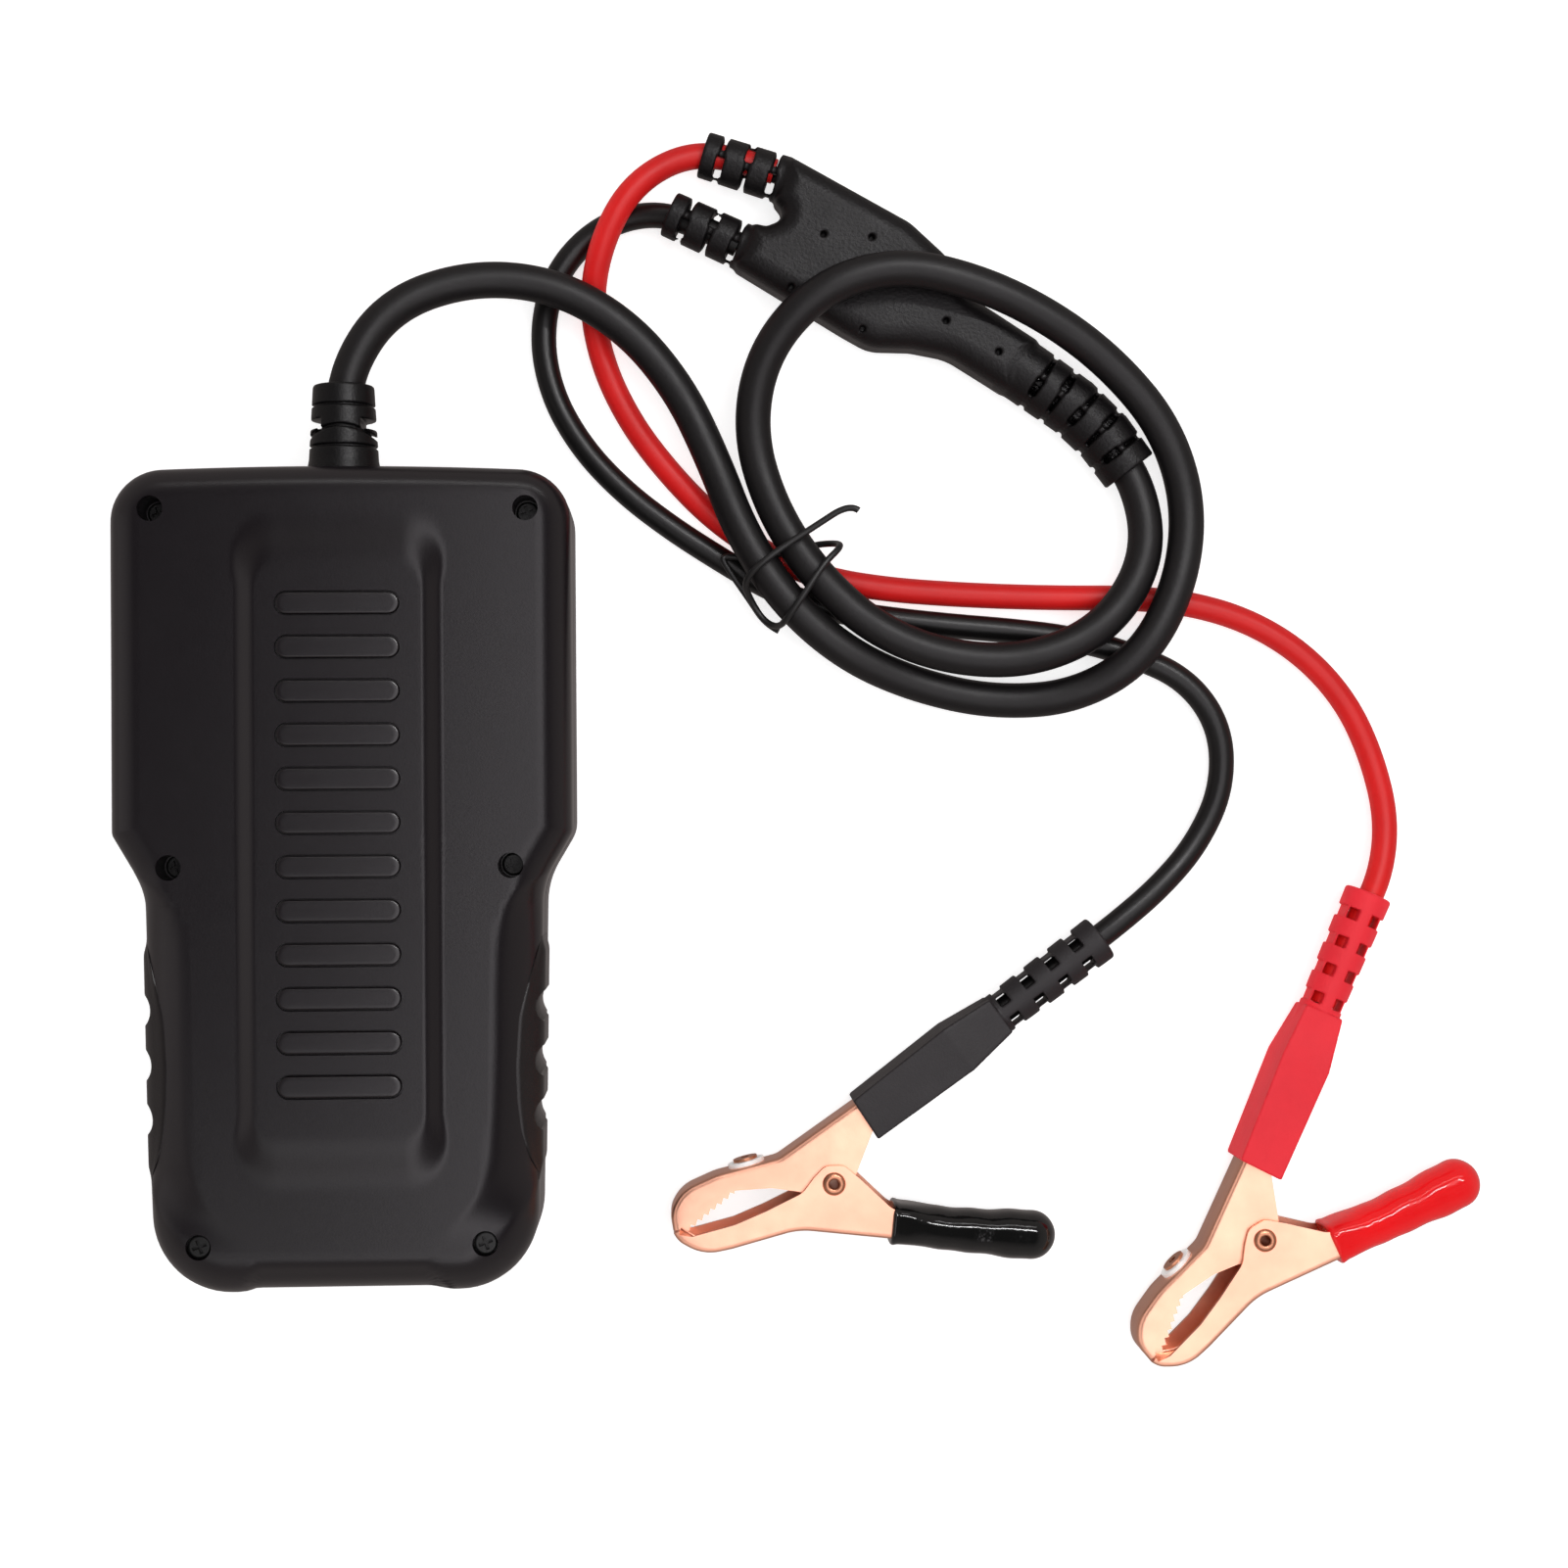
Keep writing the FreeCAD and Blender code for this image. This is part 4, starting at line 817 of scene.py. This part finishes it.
def f_sleeve(s, v, z):
    L = 32.8
    hw = 4.05 + 0.2 * sstep(2, 16, s) + 0.55 * sstep(16, 27, s) + 0.10 * np.sin(0.85 * s + 0.6) * sstep(6, 12, s)
    hh = 6.42 - 0.6 * sstep(2.5, 12, s) + 0.25 * sstep(18, 27, s) + 0.08 * np.sin(0.7 * s)
    lip = 0.22 * np.exp(-((s - 0.5) / 0.7) ** 2)
    e = np.clip((s - L + 5.2) / 5.2, 0, 0.9999)
    nose = np.sqrt(1 - e * e)
    k = (hw + lip) * nose + 1e-3
    m = (hh + lip) * nose + 1e-3
    v0 = v - 0.5 * (1 - sstep(3, 12, s)) - 0.15 * sstep(10, 30, s) - 0.25 * sstep(24, 33, s)
    p = 3.4 - 1.2 * sstep(1.5, 9, s)
    rad = (np.abs(v0 / k) ** p + np.abs(z / m) ** p) ** (1 / p)
    f = (rad - 1) * np.minimum(k, m)
    f = np.maximum(f, s - L)
    return smax(f, -s, 0.5)


V, Fc = net_mesh(f_sleeve, (-1, -6, -7.4), (34, 6, 7.4), STEP * 0.9)
W = np.stack([HO[0] + V[:, 0] * HD[0] + V[:, 1] * HN[0], HO[1] + V[:, 0] * HD[1] + V[:, 1] * HN[1], np.maximum(V[:, 2] + 6.5, 0.02)], 1)
for c, piv, tz in CLIPS:
    o = make_obj(c + "_dip", turn_z(W, tz, piv), Fc, "sleeve_" + c)
    put(o, c + "_jaw", "sleeve_" + c, c + "_sleeve")

# stamped jaws: two flats and a web, bent from one sheet with a rounded bend
def bo(sv, vv_):
    return (BO[0] + BU[0] * sv + BV[0] * vv_, BO[1] + BU[1] * sv + BV[1] * vv_)


def stamped(web, rest, half, sheet, bend):
    """Open channel as one sheet: the flats meet the web along the web side of the outline."""
    def dense(pts, closed_pts):
        return round_poly(closed_pts, 10)
    full = round_poly(web + rest, 10)
    area2 = np.sum(full[:, 0] * np.roll(full[:, 1], -1) - full[:, 1] * np.roll(full[:, 0], -1))
    sgn_ = 1.0 if area2 > 0 else -1.0
    d_ = np.roll(full, -1, 0) - np.roll(full, 1, 0)
    d_ /= np.maximum(np.linalg.norm(d_, axis=1), 1e-9)[:, None]
    nin = np.stack([-d_[:, 1], d_[:, 0]], 1) * sgn_
    w0, w1 = np.array(web[0][:2]), np.array(web[-1][:2])
    i0 = int(np.argmin(np.linalg.norm(full - w0, axis=1)))
    i1 = int(np.argmin(np.linalg.norm(full - w1, axis=1)))
    n_ = len(full)
    idx = [(i0 + k) % n_ for k in range((i1 - i0) % n_ + 1)]
    rest_i = [(i1 + k) % n_ for k in range(1, (i0 - i1) % n_)]
    verts, faces = [], []

    def add(pt, zz):
        verts.append((pt[0], pt[1], zz))
        return len(verts) - 1
    steps = 5
    cols = []
    for i in idx:
        nn = nin[i]
        if i == i0:
            nn = nin[idx[1]]
        if i == i1:
            nn = nin[idx[-2]]
        col = []
        for k in range(steps + 1):
            a_ = math.pi / 2 * k / steps
            col.append(add(full[i] + nn * bend * (1 - math.sin(a_)), half - bend * (1 - math.cos(a_))))
        for k in range(steps, -1, -1):
            a_ = math.pi / 2 * k / steps
            col.append(add(full[i] + nn * bend * (1 - math.sin(a_)), -half + bend * (1 - math.cos(a_))))
        cols.append(col)
    for c0, c1 in zip(cols, cols[1:]):
        for k in range(len(c0) - 1):
            faces.append((c0[k], c0[k + 1], c1[k + 1], c1[k]))
    top = [c_[0] for c_ in cols] + [add(full[i], half) for i in rest_i]
    bot = [c_[-1] for c_ in cols] + [add(full[i], -half) for i in rest_i]
    faces.append(tuple(top))
    faces.append(tuple(bot[::-1]))
    return np.array(verts), faces


def jaw_obj(name, web, rest, half, sheet, bend, tz, piv, holes):
    v_, f_ = stamped(web, rest, half, sheet, bend)
    v_[:, 2] += 6.5
    o = make_obj(name, turn_z(v_, tz, piv), f_, "copper", sharp=40)
    bm = bmesh.new()
    bm.from_mesh(o.data)
    bmesh.ops.triangulate(bm, faces=[q for q in bm.faces if len(q.verts) > 4])
    bmesh.ops.recalc_face_normals(bm, faces=bm.faces)
    cen = Vector((0, 0, 0))
    for q in bm.verts:
        cen += q.co
    cen /= len(bm.verts)
    topf = max(bm.faces, key=lambda q: q.calc_center_median().z)
    if topf.normal.z < 0:
        bmesh.ops.reverse_faces(bm, faces=bm.faces)
    bm.to_mesh(o.data)
    bm.free()
    md = o.modifiers.new("sheet", "SOLIDIFY")
    md.thickness = sheet * MM
    md.offset = -1
    md.use_even_offset = False
    bpy.context.view_layer.update()
    new = bpy.data.meshes.new_from_object(o.evaluated_get(bpy.context.evaluated_depsgraph_get()))
    o.modifiers.clear()
    o.data = new
    cut_with(o, holes)
    o.data.set_sharp_from_angle(angle=math.radians(38))
    return o


web_fixed = [bo(7.0, 3.4) + (0,), (-10.9, 4.9, 5), (-23.2, 1.8, 14), (-29.8, -1.1, 7.5), (-32.0, -5.2, 5), (-31.4, -8.9, 0)]
rest_fixed = [(-30.3, -9.0, 0), (-28.6, -6.2, 3), (-24.8, -2.9, 4), (-19.2, -1.2, 4), (-12.1, -0.8, 6), (-6.6, -1.6, 3),
              (-3.2, -3.4, 2.5), (3.2, -3.4, 2.5), (4.4, 1.7, 1.5), bo(0.2, -2.3) + (1,), bo(7.0, -2.3) + (0,)]
web_mov = [(13.6, -11.27, 0), (-6.9, -9.0, 14), (-19.8, -12.5, 14), (-25.6, -13.7, 9), (-30.4, -10.9, 4.2), (-31.3, -9.4, 0)]
rest_mov = [(-30.2, -9.35, 0), (-27.7, -9.9, 1), (-19.4, -7.75, 6), (-13.3, -5.2, 8), (-6.1, -1.7, 4), (-3.9, 1.2, 2.4),
            (-1.7, 3.5, 2.4), (2.0, 3.5, 2.4), (5.2, 0.8, 2), (11.7, -5.4, 4.6), (13.6, -5.6, 0)]
for c, piv, tz in CLIPS:
    seat = turn_z(np.array([[-16.9, 3.39, 6.5], [-16.9 - 0.2445 * 4, 3.39 + 0.9697 * 4, 6.5]]), tz, piv)

    def pin_hole(bm, r=1.52):
        tool_prism(bm, circle(piv[0], piv[1], r), -3, 16)

    def fixed_holes(bm):
        pin_hole(bm, 1.5)
        ax_ = Vector(seat[1] - seat[0]).normalized()
        m_ = Matrix.Translation(Vector(seat[0]) * MM) @ ax_.to_track_quat("Z", "Y").to_matrix().to_4x4()
        bmesh.ops.create_cone(bm, cap_ends=True, segments=40, radius1=2.2 * MM, radius2=2.2 * MM, depth=5 * MM, matrix=m_)

    o = jaw_obj(c + "_jaw_sheet", web_fixed, rest_fixed, 4.6, 0.9, 1.2, tz, piv, fixed_holes)
    put(o, "tester", "copper", c + "_fixed_jaw")
    o = jaw_obj(c + "_lever_sheet", web_mov, rest_mov, 5.7, 0.85, 1.2, tz, piv, pin_hole)
    put(o, c + "_jaw", "copper", c + "_moving_jaw")

# rolled eyelets at the pivots
EYE = [(0.93, 5.2), (0.93, 6.02), (1.02, 6.24), (1.28, 6.36), (1.62, 6.33), (1.92, 6.2), (2.18, 5.98), (2.26, 5.78), (1.46, 5.74), (1.46, -5.74),
       (2.26, -5.78), (2.18, -5.98), (1.92, -6.2), (1.62, -6.33), (1.28, -6.36), (1.02, -6.24), (0.93, -6.02), (0.93, -5.2)]
for c, piv, tz in CLIPS:
    ev, ef, nseg = [], [], 48
    for k in range(nseg):
        a_ = 2 * math.pi * k / nseg
        ev += [(piv[0] + r_ * math.cos(a_), piv[1] + r_ * math.sin(a_), 6.5 + z_) for r_, z_ in EYE]
    m_ = len(EYE)
    for k in range(nseg):
        k2 = (k + 1) % nseg
        ef += [(k * m_ + q, k2 * m_ + q, k2 * m_ + (q + 1) % m_, k * m_ + (q + 1) % m_) for q in range(m_)]
    o = make_obj(c + "_eyelet", ev, ef, "rivet", sharp=50)
    put(o, "tester", "rivet", c + "_pivot_rivet")

# wound torsion springs with their two legs
for c, piv, tz in CLIPS:
    cu = bpy.data.curves.new(c + "_coil", "CURVE")
    cu.dimensions = "3D"
    cu.bevel_depth = 0.45 * MM
    cu.use_fill_caps = True
    cu.bevel_resolution = 4
    sp = cu.splines.new("POLY")
    pts = [(9.6, 17.2, 8.9), (-0.5, 3.4, 8.9)]
    for k in range(145):
        a = math.radians(140 + k / 144 * 1555)
        pts.append((2.62 * math.cos(a), 2.62 * math.sin(a), 8.9 - 4.8 * k / 144))
    P = turn_z(np.array(pts), tz, piv)
    sp.points.add(len(P) - 1)
    for q, v in zip(sp.points, P):
        q.co = (*(v * MM), 1)
    cu.materials.append(M["steel"])
    o = bpy.data.objects.new(c + "_coil", cu)
    bpy.context.collection.objects.link(o)
    leg = bpy.data.curves.new(c + "_leg", "CURVE")
    leg.dimensions = "3D"
    leg.bevel_depth = 0.45 * MM
    leg.use_fill_caps = True
    leg.bevel_resolution = 4
    sp = leg.splines.new("POLY")
    P = turn_z(np.array([pts[-1], (1.2, -3.6, 4.1), (13.0, -9.7, 4.1)]), tz, piv)
    sp.points.add(2)
    for q, v in zip(sp.points, P):
        q.co = (*(v * MM), 1)
    leg.materials.append(M["steel"])
    ol = bpy.data.objects.new(c + "_leg", leg)
    bpy.context.collection.objects.link(ol)
    put(ol, c + "_jaw", "steel")
    put(o, "tester", "steel", c + "_spring")

# ------------------------------------------------------------------ wire tie round the loop
TIE = [(98.4, 70.3, 16.6), (96.6, 71.6, 16.4), (89.7, 67.2, 15.3), (83.4, 63.2, 14.9), (78.7, 59.7, 14.6),
       (76.1, 56.8, 11.3), (77.8, 53.4, 7.3), (80.2, 49.6, 6.9), (82.9, 48.1, 9.1), (84.5, 49.5, 13.6),
       (87.7, 54.1, 15.3), (91.8, 60.3, 14.8), (95.2, 63.6, 13.2), (94.9, 64.8, 8.5), (90.6, 64.9, 5.1),
       (83.5, 62.8, 6.1), (76.2, 62.3, 5.3), (71.8, 62.6, 6.0), (73.3, 59.9, 6.0), (77.4, 54.0, 5.6),
       (80.6, 49.2, 4.6), (83.2, 47.8, 5.2)]
tie = spline("tie_wire", TIE, 1.3, "tie")
put(tie, "tester", "tie", "twist_tie")

# ------------------------------------------------------------------ floor
fm = surface("m_floor", (0.60, 0.60, 0.60), rough=0.8, var=0.004, spec=0.1, var_scale=8)
fb = fm.node_tree.nodes["Principled BSDF"]
fb.inputs["Emission Color"].default_value = (1, 1, 1, 1)
fb.inputs["Emission Strength"].default_value = 0.72
bm = bmesh.new()
S, z0 = 5.0, -0.0004
for v in ((-S, -S), (S, -S), (S, S), (-S, S)):
    bm.verts.new((v[0] + 0.06, v[1] + 0.02, z0))
bm.faces.new(bm.verts)
me = bpy.data.meshes.new("floor")
bm.to_mesh(me)
bm.free()
floor = bpy.data.objects.new("floor", me)
me.materials.append(fm)
bpy.context.collection.objects.link(floor)


# ------------------------------------------------------------------ light and camera
def area(name, loc, target, size, size_y, power, col=(1, 1, 1)):
    li = bpy.data.lights.new(name, "AREA")
    li.shape = "RECTANGLE"
    li.size, li.size_y = size, size_y
    li.energy = power
    li.color = col
    o = bpy.data.objects.new(name, li)
    o.location = loc
    d = Vector(target) - Vector(loc)
    o.rotation_euler = d.to_track_quat("-Z", "Y").to_euler()
    bpy.context.collection.objects.link(o)
    return o


for key in (area("top_soft", (0.25, 0.0, 0.95), (0.08, 0.0, 0), 0.9, 0.9, 7.6),
            area("left_soft", (-0.85, 0.45, 0.60), (0.0, 0.02, 0), 0.6, 0.6, 2.4)):
    key.visible_glossy = False
# broad reflector card that the glossy surfaces see
card = area("right_card", (0.050, -0.04, 0.70), (0.050, -0.04, 0.0), 0.148, 1.15, 0.95, (1.0, 0.955, 0.985))
card2 = area("clip_card", (0.366, -0.04, 0.70), (0.366, -0.04, 0.0), 0.512, 1.15, 2.44, (1.0, 0.955, 0.985))
for o in (card, card2):
    o.rotation_euler = (0, 0, math.radians(-4))
card3 = area("left_card", (-0.62, 0.0, 0.45), (0.0, 0.0, 0.0), 0.36, 0.90, 0.16, (1.0, 0.955, 0.985))
strip = area("strip", (0.16, 0.72, 0.56), (0.14, -0.05, 0.0), 0.7, 0.05, 0.5)
strip2 = area("strip2", (0.30, 0.33, 0.62), (0.18, -0.07, 0.0), 0.36, 0.03, 1.5)
fill = area("fill_card", (-0.22, -0.33, 0.70), (-0.22, -0.33, 0.0), 0.30, 0.35, 0.17)
# the wide card (also off the dipped handles) and the second strip are flagged off the housing, the left card lights the housing alone
for o, state in ((card2, "EXCLUDE"), (strip2, "EXCLUDE"), (card3, "INCLUDE")):
    flag = bpy.data.collections.new("flag_" + o.name)
    for name in ("rear_shell",) + (("black_dip", "red_dip") if o is card2 else ()):
        flag.objects.link(bpy.data.objects[name])
    for it in flag.collection_objects:
        it.light_linking.link_state = state
    o.light_linking.receiver_collection = flag
# bright surround of the copper jaws alone
metal = bpy.data.collections.new("flag_copper")
for o in [o for o in bpy.data.objects if o.type == "MESH" and any(m is M["copper"] for m in o.data.materials)]:
    metal.objects.link(o)
around = [area("copper_top", (0.366, -0.04, 0.705), (0.366, -0.04, 0.0), 0.512, 1.15, 0.85)]
for i, (ax, ay) in enumerate(((0.75, -0.05), (-0.45, -0.05), (0.15, 0.55), (0.15, -0.65))):
    around.append(area("copper_side%d" % i, (ax, ay, 0.32), (0.15, -0.05, 0.0), 1.0, 0.50, 1.10, (1.0, 0.90, 0.90)))
for o in around:
    o.light_linking.receiver_collection = metal
for o in (card, card2, card3, strip, strip2, fill, *around):
    o.visible_diffuse = False
floor.visible_glossy = False
w = bpy.data.worlds.new("world")
bpy.context.scene.world = w
w.use_nodes = True
bg = w.node_tree.nodes["Background"]
wt = w.node_tree
tc = wt.nodes.new("ShaderNodeTexCoord")
sep = wt.nodes.new("ShaderNodeSeparateXYZ")
half = wt.nodes.new("ShaderNodeMath")
half.operation = "MULTIPLY_ADD"
half.inputs[1].default_value = 0.5
half.inputs[2].default_value = 0.5
ramp = wt.nodes.new("ShaderNodeValToRGB")
wt.links.new(tc.outputs["Generated"], sep.inputs[0])
wt.links.new(sep.outputs["Z"], half.inputs[0])
wt.links.new(half.outputs[0], ramp.inputs[0])
wt.links.new(ramp.outputs[0], bg.inputs[0])
ramp.color_ramp.elements[0].position = 0.0
ramp.color_ramp.elements[0].color = (0.32, 0.285, 0.275, 1)
ramp.color_ramp.elements[1].position = 0.96
ramp.color_ramp.elements[1].color = (0.03, 0.03, 0.03, 1)
for ps, cl in ((0.42, (0.31, 0.28, 0.27, 1)), (0.5, (0.37, 0.335, 0.325, 1)), (0.66, (0.33, 0.30, 0.29, 1)), (0.80, (0.30, 0.275, 0.268, 1)), (0.90, (0.18, 0.167, 0.163, 1))):
    ramp.color_ramp.elements.new(ps).color = cl
bg.inputs[1].default_value = 1.0
bpy.context.scene.view_settings.view_transform = "Standard"

f_px, psi = 2555.51133, 0.00717218
pos = np.array([62.62, 12.87, 500.0]) * MM
n = np.array([690 - 800.5, -(825 - 800.5), -f_px])
up_w = -n / np.linalg.norm(n)
x = np.array([1.0, 0, 0])
x = x - up_w * (x @ up_w)
x /= np.linalg.norm(x)
y = np.cross(up_w, x)
X = math.cos(psi) * x + math.sin(psi) * y
Y = -math.sin(psi) * x + math.cos(psi) * y
R = np.stack([X, Y, up_w], 1)
cam = bpy.data.cameras.new("cam")
cam.sensor_width = 36.0
cam.lens = f_px / 1601 * 36.0
cam.clip_start = 0.01
co = bpy.data.objects.new("cam", cam)
mw = Matrix.Identity(4)
for i in range(3):
    for j in range(3):
        mw[i][j] = R.T[i][j]
    mw[i][3] = pos[i]
co.matrix_world = mw
bpy.context.collection.objects.link(co)
bpy.context.scene.camera = co
